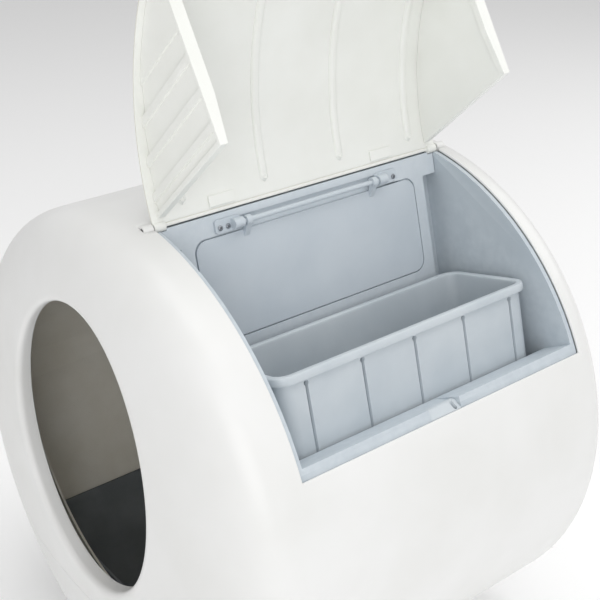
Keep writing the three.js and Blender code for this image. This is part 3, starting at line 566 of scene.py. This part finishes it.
# lid
lid = {
    "skin": 2.8 * mm, "hingeSide": 22.0, "freeSide": 79.45, "endGap": 0.8 * mm,
    "groove": 2.3 * mm, "grooveWidth": 0.9 * mm, "grooveDepth": 0.7 * mm,
    "bossLength": 12.2 * mm, "bossRadius": 4.6 * mm,
}
openAngle = math.radians(joints["lid_hinge"]["range_deg"][0])
openTurn = Matrix.Translation(hinge) @ Matrix.Rotation(openAngle, 4, "Y") @ Matrix.Translation(-hinge)
lidY0, lidY1 = bayY0 + lid["endGap"], bayY1 - lid["endGap"]
lidInner = barrelRadius - lid["skin"]


# a point on the lid from its place when shut, with the angle in the leaning bay
def onLid(radius, angle, y):
    return openTurn @ onDrum(radius, angle - math.degrees(tilt), y)


def inLid(u, y, w):
    return openTurn @ inBay(u, y, w)


# radius and angle round the lid's skin: out, over the free edge, back along the inside with its groove
def lidSection():
    loop = []
    degree = math.degrees(1 / barrelRadius)
    half = lid["skin"] / 2
    middle = barrelRadius - half
    for i in range(9):
        turn = math.pi * (i / 8)
        loop.append((middle - half * math.cos(turn), lid["hingeSide"] - half * math.sin(turn) * degree))
    for angle in spread([lid["hingeSide"] + 0.6, lid["freeSide"] - 0.3], 1.2):
        loop.append((barrelRadius, angle))
    loop.append((barrelRadius - 0.35 * mm, lid["freeSide"] - 0.07))
    loop.append((barrelRadius - 0.9 * mm, lid["freeSide"]))
    loop.append((lidInner + 0.9 * mm, lid["freeSide"]))
    loop.append((lidInner + 0.3 * mm, lid["freeSide"] - 0.07))
    inside = spread([lid["freeSide"] - 0.3, lid["hingeSide"] + 1.0], 1.2)
    loop += [(lidInner, angle) for angle in inside]
    grooveAngle = lid["hingeSide"] + lid["groove"] * degree
    w = lid["grooveWidth"] / 2 * degree
    for offset, depth in ((1.6, 0), (1.0, 0.25), (0.7, 1), (-0.7, 1), (-1.0, 0.25), (-1.6, 0)):
        loop.append((lidInner + depth * lid["grooveDepth"], grooveAngle + offset * w))
    return loop


section = lidSection()
ends = [0, 0.25 * mm, 0.8 * mm]
alongLid = [lidY0 + e for e in ends] + spread([lidY0 + 12 * mm, lidY1 - 12 * mm], 9 * mm)
alongLid += [lidY1 - e for e in reversed(ends)]
tuck = {0: 0.75 * mm, 1: 0.25 * mm}


# draws the section in at the lid's two ends, so that its long edges are round
def tucked(radius, row):
    fromEnd = min(row, len(alongLid) - 1 - row)
    inset = tuck.get(fromEnd, 0)
    middle = (barrelRadius + lidInner) / 2
    return middle + (radius - middle) * (1 - inset / (lid["skin"] / 2))


lidPoints = [onLid(tucked(r, i), a, y) for i, y in enumerate(alongLid) for r, a in section]
lidFaces = loftFaces(len(alongLid), len(section), closed=True)
lidFaces.append(tuple(range(len(section))))
last = (len(alongLid) - 1) * len(section)
lidFaces.append(tuple(reversed(range(last, last + len(section)))))
lidSkin = pieceFrom("lid_skin_moulded", lidPoints, lidFaces)
lidTop = onLid(barrelRadius, 50, bayMid)
faceOut(lidSkin, lidTop, onLid(barrelRadius + mm, 50, bayMid) - lidTop)
shadeSoft(lidSkin, 38)


# a round end boss of the lid that takes a hinge pin
def boss(name, y0, y1):
    made = rodAlongY(name, hinge.x, hinge.z, y0, y1, lid["bossRadius"], 40)
    soften(made, 0.6 * mm, 3)
    return made


bossSpans = ((lidY0, lidY0 + lid["bossLength"], "left"), (lidY1 - lid["bossLength"], lidY1, "right"))
for y0, y1, label in bossSpans:
    dress(boss("lid_boss_" + label, y0, y1), lidPlastic, "lid")
settle(lidSkin, lidPlastic, "lid", ["lid_skin"])

ribs = {
    "tip": 24.9, "far": 64.5, "half": 4.8 * mm, "height": 3.4 * mm, "rows": 60, "across": 8, "tail": 20 * mm,
    "eye": ((2.6, -0.6), (2.6, 0.25), (2.35, 0.45), (1.95, 0.45), (1.7, 0.25), (1.6, -1.2)),  # radius, rise
    "eyeSteps": 28,
}


# a long, low ridge on the lid's inside, round-topped, with a bored tip whose dark bottom is a black disc of
# painted shadow
def lidRib(name, node, y):
    degree = math.degrees(1 / lidInner)
    low, high = ribs["tip"], ribs["far"]
    rows = []
    length = (high - low) / degree
    for i in range(ribs["rows"]):
        share = i / (ribs["rows"] - 1)
        travelled = share * length
        nose = min(1.0, travelled / (2.6 * ribs["half"]))
        tail = min(1.0, (length - travelled) / ribs["tail"])
        width = ribs["half"] * math.sqrt(max(0.0, 1 - (1 - min(1.0, travelled / ribs["half"])) ** 2))
        width = max(width, 0.15 * mm)
        height = ribs["height"] * (0.45 + 0.55 * nose) * math.sin(tail * math.pi / 2)
        height = max(height * min(1.0, width / ribs["half"] + 0.2), 0.05 * mm)
        row = []
        for k in range(-ribs["across"], ribs["across"] + 1):
            across = k / ribs["across"]
            rise = height * (1 - abs(across) ** 3.2)
            row.append(onLid(lidInner + 0.25 * mm - rise, low + share * (high - low), y + across * width))
        rows.append(row)
    points = [p for row in rows for p in row]
    made = pieceFrom(name, points, loftFaces(ribs["rows"], 2 * ribs["across"] + 1))
    up = onLid(lidInner - mm, 45, y) - onLid(lidInner, 45, y)
    faceOut(made, onLid(lidInner - ribs["height"], 45, y), up)
    shadeSoft(made, 50)
    base = made.modifiers.new("wall", "SOLIDIFY")
    base.thickness = 0.2 * mm
    base.offset = -1
    bake(made)
    settle(made, lidPlastic, "lid", [node])

    centre = low + (ribs["half"] * 1.15) * degree
    top = lidInner + 0.25 * mm - ribs["height"] * 0.72
    steps = ribs["eyeSteps"]

    def roundEye(radius, rise):
        points = []
        for s in range(steps):
            turn = 2 * math.pi * s / steps
            angle = centre + radius * math.cos(turn) * degree
            points.append(onLid(top - rise, angle, y + radius * math.sin(turn)))
        return points

    ring = []
    for radius, rise in ribs["eye"]:
        ring += roundEye(radius * mm, rise * mm)
    eye = pieceFrom(name + "_eye", ring, loftFaces(len(ribs["eye"]), steps, closed=True))
    faceOut(eye, onLid(top - 0.45 * mm, centre + 2.1 * mm * degree, y), up)
    shadeSoft(eye, 50)
    dress(eye, lidPlastic, "lid")
    # a black disc down in the bore: painted shadow that makes the hole look dark
    boreShadow = pieceFrom(name + "_bore_painted_shadow", roundEye(1.65 * mm, -0.9 * mm), [tuple(range(steps))])
    dress(boreShadow, inletPlastic, "lid")


for i in (1, 2, 3, 4):
    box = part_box("lid_rib_%d" % i)
    lidRib("lid_rib_%d_ridge" % i, "lid_rib_%d" % i, (box[0].y + box[1].y) / 2)

for label in ("left", "right"):
    tab = refined("lid_tab_" + label, "lid_tab_%s_plate" % label, 0.5 * mm, 3)
    settle(tab, lidPlastic, "lid", ["lid_tab_" + label])

endWall = {
    "thick": 8 * mm, "front": 110.5 * mm, "depth": 144 * mm, "fall": math.tan(math.radians(-11)),
    "pockets": ((115 * mm, 124 * mm), (131 * mm, 152.5 * mm),
                (159.5 * mm, 181.5 * mm), (188.5 * mm, 209 * mm)),
    "step": 0.9 * mm, "back": 0.7 * mm, "pocketDepth": 4.2 * mm,
    "flange": 4.2 * mm, "flangeRise": 7 * mm, "edge": 0.8 * mm,
}


# an end wall of the lid: upright pockets let into its outer face, and a flange along its free edge inside
def lidEndWall(label, side):
    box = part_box("lid_end_wall_" + label)
    outer = box[0].y if side < 0 else box[1].y
    reach = lidInner - 0.3 * mm
    front, edge, flange = endWall["front"], endWall["edge"], endWall["flange"]
    tip = math.sqrt(reach ** 2 - front ** 2) - endWall["depth"]
    far = front
    while math.sqrt(reach ** 2 - far ** 2) > tip + endWall["fall"] * (far - front) + 3 * mm:
        far += 0.5 * mm
    stops = [front, front + edge]
    for a, b in endWall["pockets"]:
        stops += [a, a + endWall["step"], a + 6 * mm, b - endWall["back"], b]
    stops.append(far)
    us = spread(stops, 4 * mm)
    heights = [0, 0.5 * mm, edge, 3 * mm, 4 * mm, 5 * mm]
    heights += [endWall["flangeRise"], endWall["flangeRise"] + 1 * mm]
    shares = [0.1, 0.2, 0.3, 0.4, 0.5, 0.6, 0.7, 0.8, 0.9, 1.0]
    columns = len(heights) + len(shares)

    def level(u, j):
        low = tip + endWall["fall"] * (u - front)
        high = math.sqrt(max(0.0, reach ** 2 - u ** 2))
        if j < len(heights):
            return min(low + heights[j], high)
        base = min(low + heights[-1], high)
        return base + (high - base) * shares[j - len(heights)]

    # each pocket starts with a step and runs out in a slope towards its far side
    def pocket(u, j):
        if j < 4:
            return 0.0
        for a, b in endWall["pockets"]:
            if a < u < b:
                fall = min(1.0, (u - a) / endWall["step"]) * min(1.0, (b - u) / endWall["back"])
                slope = 1.0 - 0.55 * (u - a) / (b - a)
                return endWall["pocketDepth"] * fall * slope * min(1.0, (j - 3) / 2)
        return 0.0

    def rounding(u, j):
        return edge * (1 - math.sqrt(0.5)) if (u == us[0] or j == 0) else 0.0

    def flangeAt(u, j):
        grow = min(1.0, (u - front) / (42 * mm)) * flange
        if j >= len(heights):
            return 0.0
        drop = min(1.0, max(0.0, (heights[j] - endWall["flangeRise"]) / (1 * mm)))
        return grow * (1 - drop)

    outside, inside = [], []
    for u in us:
        for j in range(columns):
            w = level(u, j)
            outside.append(inLid(u, outer - side * (pocket(u, j) + rounding(u, j)), w))
            inside.append(inLid(u, outer - side * (endWall["thick"] + flangeAt(u, j) - rounding(u, j)), w))
    points = outside + inside
    faces = loftFaces(len(us), columns)
    count = len(outside)
    faces += [tuple(count + k for k in reversed(face)) for face in loftFaces(len(us), columns)]
    border = list(range(columns)) + [i * columns + columns - 1 for i in range(1, len(us))]
    border += [(len(us) - 1) * columns + j for j in range(columns - 2, -1, -1)]
    border += [i * columns for i in range(len(us) - 2, 0, -1)]
    for a, b in zip(border, border[1:] + border[:1]):
        faces.append((a, count + a, count + b, b))
    made = pieceFrom("lid_end_wall_%s_pocketed" % label, points, faces)
    turnOutwards(made, 0.02 * mm)
    soften(made, 0.5 * mm, 2, 40)
    settle(made, lidPlastic, "lid", ["lid_end_wall_" + label])


lidEndWall("left", -1)
lidEndWall("right", 1)
hook = refined("latch_hook", "latch_hook_moulded", 0.3 * mm, 2)
settle(hook, lidPlastic, "lid", ["latch_hook"])
print("lid made")


# bay: tub, partition, brackets, rod, flap, catch
ledge = {
    "inner": 234.6 * mm, "innerW": 50.1 * mm, "low": 78.0, "raised": 77.6, "radius": 276.4 * mm,
    "under": (270.6 * mm, 55 * mm), "notchFrom": -25.7 * mm, "notchTo": 13.7 * mm, "closeEnds": 0.22 * mm,
}
tub = refined("bay_tub", "bay_tub_moulded", 0)
for vertex in tub.data.vertices:  # the tub's ends almost meet the shell
    if abs(vertex.co.y - bayY0) < 1 * mm:
        vertex.co.y -= ledge["closeEnds"]
    if abs(vertex.co.y - bayY1) < 1 * mm:
        vertex.co.y += ledge["closeEnds"]


def fromUp(radius, angle):
    return radius * math.sin(math.radians(angle)), radius * math.cos(math.radians(angle))


# a wedge on each side of the finger notch lifts the ledge's front corner
for y0, y1 in ((bayY0 + 3 * mm, bayMid + ledge["notchFrom"]), (bayMid + ledge["notchTo"], bayY1 - 3 * mm)):
    wedge = [(ledge["inner"], ledge["innerW"] - 1 * mm), ledge["under"]]
    wedge += [fromUp(ledge["radius"], ledge["low"]), fromUp(ledge["radius"], ledge["raised"])]
    wedge.append((ledge["inner"], ledge["innerW"]))
    tool = pieceFrom("wedge", [inBay(u, y, w) for y in (y0, y1) for u, w in wedge], closedLoft(2, len(wedge)))
    turnOutwards(tool)
    cutWith(tub, tool, "UNION")
soften(tub, 0.8 * mm, 3)
# the tub's darker blue-grey is painted shade
settle(tub, tubPlasticShaded, "root", ["bay_tub"])

slot = {
    "u": 267.2 * mm, "fromMiddle": 7 * mm, "half": 4.6 * mm, "round": 2.1 * mm,
    "floor": 44 * mm, "top": 62 * mm, "steps": 32,
}
catch = refined("latch_catch", "latch_catch_moulded", 0.6 * mm, 3)


# the slot's outline at one height
def slotRing(w, size=1.0):
    ring = []
    for s in range(slot["steps"]):
        turn = 2 * math.pi * s / slot["steps"]
        shift = (slot["half"] - slot["round"]) * (1 if math.cos(turn) > 0 else -1)
        u = (shift + slot["round"] * math.cos(turn)) * size
        y = slot["round"] * math.sin(turn) * size
        ring.append(inBay(slot["u"] + u, bayMid + slot["fromMiddle"] + y, w))
    return ring


slotTool = pieceFrom("slot", slotRing(slot["floor"]) + slotRing(slot["top"]), closedLoft(2, slot["steps"]))
cutWith(catch, slotTool)
shadeSoft(catch)
# a black disc just above the slot's floor: painted shadow that darkens the slot
slotShadowRing = slotRing(slot["floor"] + 0.4 * mm, 0.97)
slotShadow = pieceFrom("catch_slot_painted_shadow", slotShadowRing, [tuple(range(slot["steps"]))])
dress(slotShadow, inletPlastic, "root")
settle(catch, binPlastic, "root", ["latch_catch"])

partition = refined("partition_panel", "partition_moulded", 0)
rodBox = bayBox("flap_rod")
trough = {"radius": 8.3 * mm, "fromEnds": 4 * mm}
troughEnds = rodBox[0].y + trough["fromEnds"], rodBox[1].y - trough["fromEnds"]
cutWith(partition, rodAlongY("trough", flapAxis.x, flapAxis.z, *troughEnds, trough["radius"]))
soften(partition, 0.6 * mm, 3)
settle(partition, bayPlastic, "root", ["partition_panel"])

flap = refined("flap", "flap_moulded", 0.7 * mm, 3)
settle(flap, bayPlastic, "flap", ["flap"])
flapRod = refined("flap_rod", "flap_rod_drawn", 0.5 * mm, 3)
settle(flapRod, bayPlastic, "root", ["flap_rod"])
for label in ("left", "right"):
    bracket = refined("rod_bracket_" + label, "rod_bracket_%s_moulded" % label, 0.5 * mm, 2)
    settle(bracket, bayPlastic, "root", ["rod_bracket_" + label])
print("bay made")


# waste bin
binForm = {
    "wall": 2.5 * mm, "corner": 14 * mm, "overhang": 5 * mm, "rim": 8 * mm, "floorRound": 9 * mm,
    "longerLeft": 1.2 * mm, "longerRight": 3.5 * mm,
    "grooves": (-127 * mm, -61.5 * mm, 3.5 * mm, 68.5 * mm, 134 * mm), "grooveHalf": 1.35 * mm,
    "grooveDepth": 5 * mm, "grooveTop": 116 * mm, "grooveEnd": 32 * mm, "draft": 0.012,
}
binBox = bayBox("waste_bin")
over = binForm["overhang"]
binLow = (binBox[0].x + over, binBox[0].y + over - binForm["longerLeft"])
binHigh = (binBox[1].x - over, binBox[1].y - over + binForm["longerRight"])
floorW, rimW = binBox[0].z, binBox[1].z


# one level of the bin: a rounded rectangle, with its front drawn in along the grooves
def binRing(w, outset, carve=0.0, wide=1.0):
    u0, y0 = binLow[0] - outset, binLow[1] - outset
    u1, y1 = binHigh[0] + outset, binHigh[1] + outset
    corner = max(2.5 * mm, binForm["corner"] + outset)
    ring = []
    middles = [bayMid + g for g in binForm["grooves"]]
    half = binForm["grooveHalf"]
    frontStops = [y0 + corner]
    for m in middles:
        frontStops += [m + half * k for k in (-3, -1.25, -1, -0.75, 0.75, 1, 1.25, 3)]
    frontStops.append(y1 - corner)
    for y in frontStops:
        near = min(abs(y - m) for m in middles) / half
        reach = 1.0 if near < 0.8 else (0.55 if near < 1.1 else 0.0)
        y = y if near > 2 else min(middles, key=lambda m: abs(y - m)) * (1 - wide) + y * wide
        ring.append(inBay(u1 - carve * reach, y, w))
    sides = (
        (u1 - corner, y1 - corner, [(u, y1) for u in spread([u1 - corner, u0 + corner], 14 * mm)]),
        (u0 + corner, y1 - corner, [(u0, y) for y in spread([y1 - corner, y0 + corner], 14 * mm)]),
        (u0 + corner, y0 + corner, [(u, y0) for u in spread([u0 + corner, u1 - corner], 14 * mm)]),
        (u1 - corner, y0 + corner, []),
    )
    for quarter, (cu, cy, straight) in enumerate(sides):
        for i in range(1, 10):
            turn = math.radians(90 * quarter + 90 * i / 10)
            ring.append(inBay(cu + corner * math.cos(turn), cy + corner * math.sin(turn), w))
        ring += [inBay(u, y, w) for u, y in straight]
    return ring


# height, how far out, how deep the grooves are and how wide, from under the floor over the rim to the inside
def binLevels():
    wall, rim, floorRound = binForm["wall"], binForm["rim"], binForm["floorRound"]
    depth = binForm["grooveDepth"]
    levels = [(floorW, -floorRound, 0, 1)]
    for i in range(1, 7):
        turn = math.pi / 2 * i / 6
        levels.append((floorW + floorRound * (1 - math.cos(turn)), floorRound * (math.sin(turn) - 1), 0, 1))
    top, end = binForm["grooveTop"], binForm["grooveEnd"]
    fullDepth = top - 4 * mm
    for w in spread([floorW + 22 * mm, end], 12 * mm):
        levels.append((w, 0, 0, 1))
    for i in range(1, 13):
        share = i / 12
        levels.append((end + (fullDepth - end) * share, 0, depth * share ** 0.7, 1))
    levels += [(top - 3 * mm, 0, depth * 1.1, 1.5), (top - 1 * mm, 0, depth * 1.1, 1.6)]
    levels += [(top, 0, depth * 0.4, 1.2), (top + 0.5 * mm, 0, 0, 1)]
    skirt = rimW - rim
    rimProfile = (
        (skirt + 0.6 * mm, 0.0), (skirt + 0.3 * mm, 0.5 * mm), (skirt, over - 1.0 * mm),
        (skirt + 0.1 * mm, over - 0.35 * mm), (skirt + 0.7 * mm, over),
        (rimW - 1.9 * mm, over), (rimW - 0.9 * mm, over - 0.35 * mm),
        (rimW - 0.25 * mm, over - 1.1 * mm), (rimW, over - 2.2 * mm),
        (rimW, -wall + 2.2 * mm), (rimW - 0.3 * mm, -wall + 0.9 * mm),
        (rimW - 1.0 * mm, -wall + 0.25 * mm), (rimW - 2.2 * mm, -wall),
    )
    levels += [(w, outset, 0, 1) for w, outset in rimProfile]
    for w in spread([rimW - 5 * mm, top + 2 * mm, top, end, floorW + wall + floorRound], 6 * mm):
        share = min(1.0, max(0.0, (w - end) / (fullDepth - end)))
        carve = depth * share ** 0.7 if w < top + 1 * mm else 0
        levels.append((w, -wall - (rimW - w) * binForm["draft"], carve, 2.1))
    inset = -wall - (rimW - floorW - wall - floorRound) * binForm["draft"]
    for i in range(1, 7):
        turn = math.pi / 2 * i / 6
        drop, step = floorRound * (1 - math.sin(turn)), floorRound * (1 - math.cos(turn))
        levels.append((floorW + wall + drop, inset - step, 0, 1))
    return levels


levels = binLevels()
binPoints = []
for level in levels:
    binPoints += binRing(*level)
binFaces = closedLoft(len(levels), len(binPoints) // len(levels))
wasteBin = pieceFrom("waste_bin_moulded", binPoints, binFaces)
faceOut(wasteBin, inBay(binHigh[0], bayMid + 30 * mm, 40 * mm), Vector((math.cos(tilt), 0, math.sin(tilt))))
shadeSoft(wasteBin, 40)
settle(wasteBin, binPlastic, "root", ["waste_bin"])
print("bin made")


# screws, feet, rear panel, inlet, button
# shares of the head's radius and height
screw = {
    "head": ((0.05, 0.0), (0.35, -0.02), (0.62, -0.10), (0.82, -0.24), (0.94, -0.42), (1.0, -0.62),
             (1.0, -0.92), (0.97, -1.0)),
    "pitch": 1.1 * mm, "steps": 32, "armLength": 0.6, "armWidth": 0.13,
}


# a pan-head screw with a cross recess, where the CAD screw is
def crossScrew(name, node, axis, material):
    bm = bmesh.new()
    bm.from_mesh(frame["nodes"][node].data)
    along = Vector(axis).normalized()
    reach = [v.co.dot(along) for v in bm.verts]
    top = max(reach)
    headPoints = [v.co for v in bm.verts if v.co.dot(along) > top - 0.05 * mm]
    centre = sum(headPoints, Vector()) / len(headPoints)
    radius = max((p - centre).length for p in headPoints)
    length = top - min(reach)
    below = [v.co - centre for v in bm.verts if v.co.dot(along) < top - 3 * mm]
    shank = min((offset - along * offset.dot(along)).length for offset in below)
    bm.free()
    side = along.orthogonal().normalized()
    other = along.cross(side)
    headHeight = 2.0 * mm if radius > 3 * mm else 1.4 * mm
    levels = [(r * radius, h * headHeight) for r, h in screw["head"]] + [(shank, -headHeight)]
    turns = int((length - headHeight) / screw["pitch"])
    for i in range(turns):
        start = -headHeight - screw["pitch"] * i
        levels += [(shank, start - 0.2 * mm), (shank * 0.8, start - 0.55 * mm), (shank, start - 0.9 * mm)]
    levels.append((0.05 * mm, -length))
    points = turnedRings(levels, centre, side, other, along, screw["steps"])
    made = pieceFrom(name, points, closedLoft(len(levels), screw["steps"]))
    turnOutwards(made)
    cross = bmesh.new()
    for a, b in ((side, other), (other, side)):
        corners = []
        for du, dv, dh in [(i, j, k) for i in (-1, 1) for j in (-1, 1) for k in (-1, 1)]:
            arm = centre + a * (du * radius * screw["armLength"]) + b * (dv * radius * screw["armWidth"])
            corners.append(arm + along * (dh * headHeight * 0.55))
        verts = [cross.verts.new(c) for c in corners]
        bmesh.ops.convex_hull(cross, input=verts)
    tool = fromBmesh("cross", cross)
    cut = made.modifiers.new("cut", "BOOLEAN")
    cut.operation = "DIFFERENCE"
    cut.solver = "EXACT"
    cut.use_self = True
    cut.object = tool
    bake(made)
    bpy.data.objects.remove(tool)
    shadeSoft(made, 40)
    settle(made, material, "root", [node])


outOfBay = (math.cos(tilt), 0, math.sin(tilt))
for i in range(1, 5):
    crossScrew("rear_screw_%d_cross" % i, "rear_screw_%d" % i, (0, 1, 0), zincPlate)
    crossScrew("bracket_screw_%d_cross" % i, "bracket_screw_%d" % i, outOfBay, zincPlate)


# mm: the sole's rings as radius and height, and the waist as the way in and the way down from the shoulder
foot = {
    "sole": ((2, 0.9), (4, 0.9), (4.4, 0.2), (6, 0.2), (6.4, 0.9), (8.6, 0.9),
             (9, 0.2), (10.6, 0.2), (11, 0.9), (13.2, 0.9), (13.6, 0)),
    "waist": ((0.8, 3.2), (1.6, 2.6), (0.9, 2.0), (0.9, 0.6), (1.5, 0)), "round": 1.6 * mm,
    "stem": 3 * mm, "steps": 56,
}


# a rubber foot with a rounded rim and rings pressed into its sole
def rubberFoot(i):
    node = "foot_%d" % i
    low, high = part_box(node)
    centre = Vector(((low.x + high.x) / 2, (low.y + high.y) / 2, 0))
    radius = (high.x - low.x) / 2
    shoulder = undersideZ - 0.3 * mm
    levels = [(r * mm, low.z + h * mm) for r, h in foot["sole"]]
    for k in range(7):
        turn = math.pi / 2 * k / 6
        inward, rise = foot["round"] * (1 - math.sin(turn)), foot["round"] * (1 - math.cos(turn))
        levels.append((radius - inward, low.z + rise))
    levels += [(radius - inward * mm, shoulder - drop * mm) for inward, drop in foot["waist"]]
    levels += [(foot["stem"], shoulder), (foot["stem"], high.z - 0.4 * mm), (foot["stem"] - 0.4 * mm, high.z)]
    axes = Vector((1, 0, 0)), Vector((0, 1, 0)), Vector((0, 0, 1))
    points = turnedRings(levels, centre, *axes, foot["steps"])
    made = pieceFrom(node + "_ringed", points, closedLoft(len(levels), foot["steps"]))
    turnOutwards(made)
    shadeSoft(made, 40)
    settle(made, footRubber, "root", [node])


for i in range(1, 5):
    rubberFoot(i)

for node, material, slotName, body in (
    ("rear_panel", shellPlastic, "shell_white", "root"),
    ("power_inlet", inletPlastic, "black_plastic", "root"),
    ("power_button", buttonPlastic, "button_grey", "button"),
    ("hinge_lug_left", shellPlastic, "shell_white", "root"),
    ("hinge_lug_right", shellPlastic, "shell_white", "root"),
    ("lid_pin_left", drawnSteel, "steel", "root"),
    ("lid_pin_right", drawnSteel, "steel", "root"),
):
    made = refined(node, node + "_finished", 0.5 * mm, 3)
    settle(made, material, body, [node])
print("outside fittings made")


# chamber, pan, rake and drive; the board is epoxy under a green mask, whose fine grain gives a soft sheen
boardLaminate = mouldedPlastic({
    "name": "glass epoxy, green mask", "colour": "2C6B48", "shade": "276040", "flow": 20 * mm,
    "speck": 0.7 * mm, "speckColour": "4E8A68", "speckAmount": 0.4, "worn": 0.7, "wornColour": "A9B98F",
    "dustAndShade": 0.5, "dustAndShadeColour": "5D5F4B", "roughness": 0.38, "scuff": 6 * mm, "scuffAmount": 0.08,
    "sink": 20 * mm, "sinkDepth": 0.05 * mm, "grain": 0.4 * mm,
    "grainStrength": 0.2, "grainDepth": 0.02 * mm, "ior": 1.55,
})
for node, material, slotName, body, width in (
    ("litter_pan", panPlastic, "pan_charcoal", "root", 0.9 * mm),
    ("rake_arm", panPlastic, "pan_charcoal", "rake", 1.0 * mm),
    ("rake_comb", panPlastic, "pan_charcoal", "rake", 0.6 * mm),
    ("drive_shaft", drawnSteel, "steel", "rake", 0.5 * mm),
    ("gearbox", zincPlate, "zinc", "root", 1.0 * mm),
    ("motor", drawnSteel, "steel", "root", 1.2 * mm),
    ("control_board", boardLaminate, "circuit_board", "root", 0.2 * mm),
):
    made = refined(node, node + "_finished", width, 3)
    settle(made, material, body, [node])
doorway = {"wider": 74 * mm, "taller": 52 * mm, "before": 20 * mm, "into": 12 * mm, "steps": 72}
liner = refined("chamber_liner", "chamber_liner_finished", 0)
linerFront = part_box("chamber_liner")[0].y
doorPoints = []
for y in (linerFront - doorway["before"], linerFront + doorway["into"]):
    for s in range(doorway["steps"]):
        turn = 2 * math.pi * s / doorway["steps"]
        x = (shell["entranceHalfWidth"] + doorway["wider"]) * math.sin(turn)
        z = (shell["entranceHalfHeight"] + doorway["taller"]) * math.cos(turn)
        doorPoints.append((x, y, axisZ + shell["entranceRise"] + z))
doorTool = pieceFrom("doorway", doorPoints, closedLoft(2, doorway["steps"]))
cutWith(liner, doorTool)
soften(liner, 0.6 * mm, 3)
settle(liner, linerPlastic, "root", ["chamber_liner"])
print("chamber and drive made")


# floor, light, camera
floorMaterial, floorTree = newMaterial("studio floor, matt white paint")
floorPlace = addNode(floorTree, "TexCoord").outputs["Object"]
floorNoise = addNode(floorTree, "TexNoise", {"Vector": floorPlace, "Scale": 3.0, "Detail": 3.0})
floorRough = addNode(floorTree, "MapRange", {"Value": floorNoise.outputs["Fac"], "To Min": 0.75,
                                             "To Max": 0.9})
floorShader = addNode(floorTree, "BsdfPrincipled", {"Base Color": linear("FFFFFF"),
                                                    "Roughness": floorRough.outputs["Result"]})
finishMaterial(floorMaterial, floorTree, floorShader)
reach = 6
floorCorners = [(-reach, -reach, 0), (reach, -reach, 0), (reach, reach, 0), (-reach, reach, 0)]
floor = pieceFrom("studio_floor", floorCorners, [(0, 1, 2, 3)])
floor.data.materials.append(floorMaterial)

world = bpy.data.worlds.new("soft studio")
world.use_nodes = True
world.node_tree.nodes["Background"].inputs["Color"].default_value = linear("FFFFFF")
world.node_tree.nodes["Background"].inputs["Strength"].default_value = 0.52
bpy.context.scene.world = world


def softbox(name, place, aim, size, power, tint="FFFFFF"):
    data = bpy.data.lights.new(name, "AREA")
    data.shape = "RECTANGLE"
    data.size, data.size_y = size
    data.energy = power
    data.color = linear(tint)[:3]
    lamp = bpy.data.objects.new(name, data)
    lamp.location = place
    lamp.rotation_mode = "QUATERNION"
    lamp.rotation_quaternion = (Vector(aim) - Vector(place)).to_track_quat("-Z", "Y")
    bpy.context.scene.collection.objects.link(lamp)


softbox("above", (0.3, 0.1, 3.1), (0, 0, 0.3), (2.6, 2.6), 36)
softbox("beside_camera", (1.9, -1.7, 1.2), (0, 0, 0.3), (1.6, 1.6), 20)
softbox("right", (2.4, 0.7, 1.2), (0, 0, 0.3), (1.8, 1.8), 4)
softbox("behind", (0.3, 2.5, 1.7), (0, 0, 0.3), (1.8, 1.8), 13)
softbox("left", (-2.4, -0.5, 1.5), (0, 0, 0.3), (1.8, 1.8), 1)

# level, and looking down from the right front
eye = {
    "place": (0.8674, -0.6480, 0.9639), "azimuth": 51.48,
    "back": (0.69778, -0.55539, 0.45237), "lens": 68.943,
}
camera = bpy.data.objects.new("camera", bpy.data.cameras.new("camera"))
back = Vector(eye["back"]).normalized()
right = Vector((math.cos(math.radians(eye["azimuth"])), math.sin(math.radians(eye["azimuth"])), 0))
up = back.cross(right)
camera.matrix_world = Matrix.Translation(eye["place"]) @ Matrix((right, up, back)).transposed().to_4x4()
camera.data.lens = eye["lens"]
camera.data.sensor_width = 36
camera.data.clip_start, camera.data.clip_end = 0.05, 50
bpy.context.scene.collection.objects.link(camera)
bpy.context.scene.camera = camera
bpy.context.scene.view_settings.view_transform = "Standard"
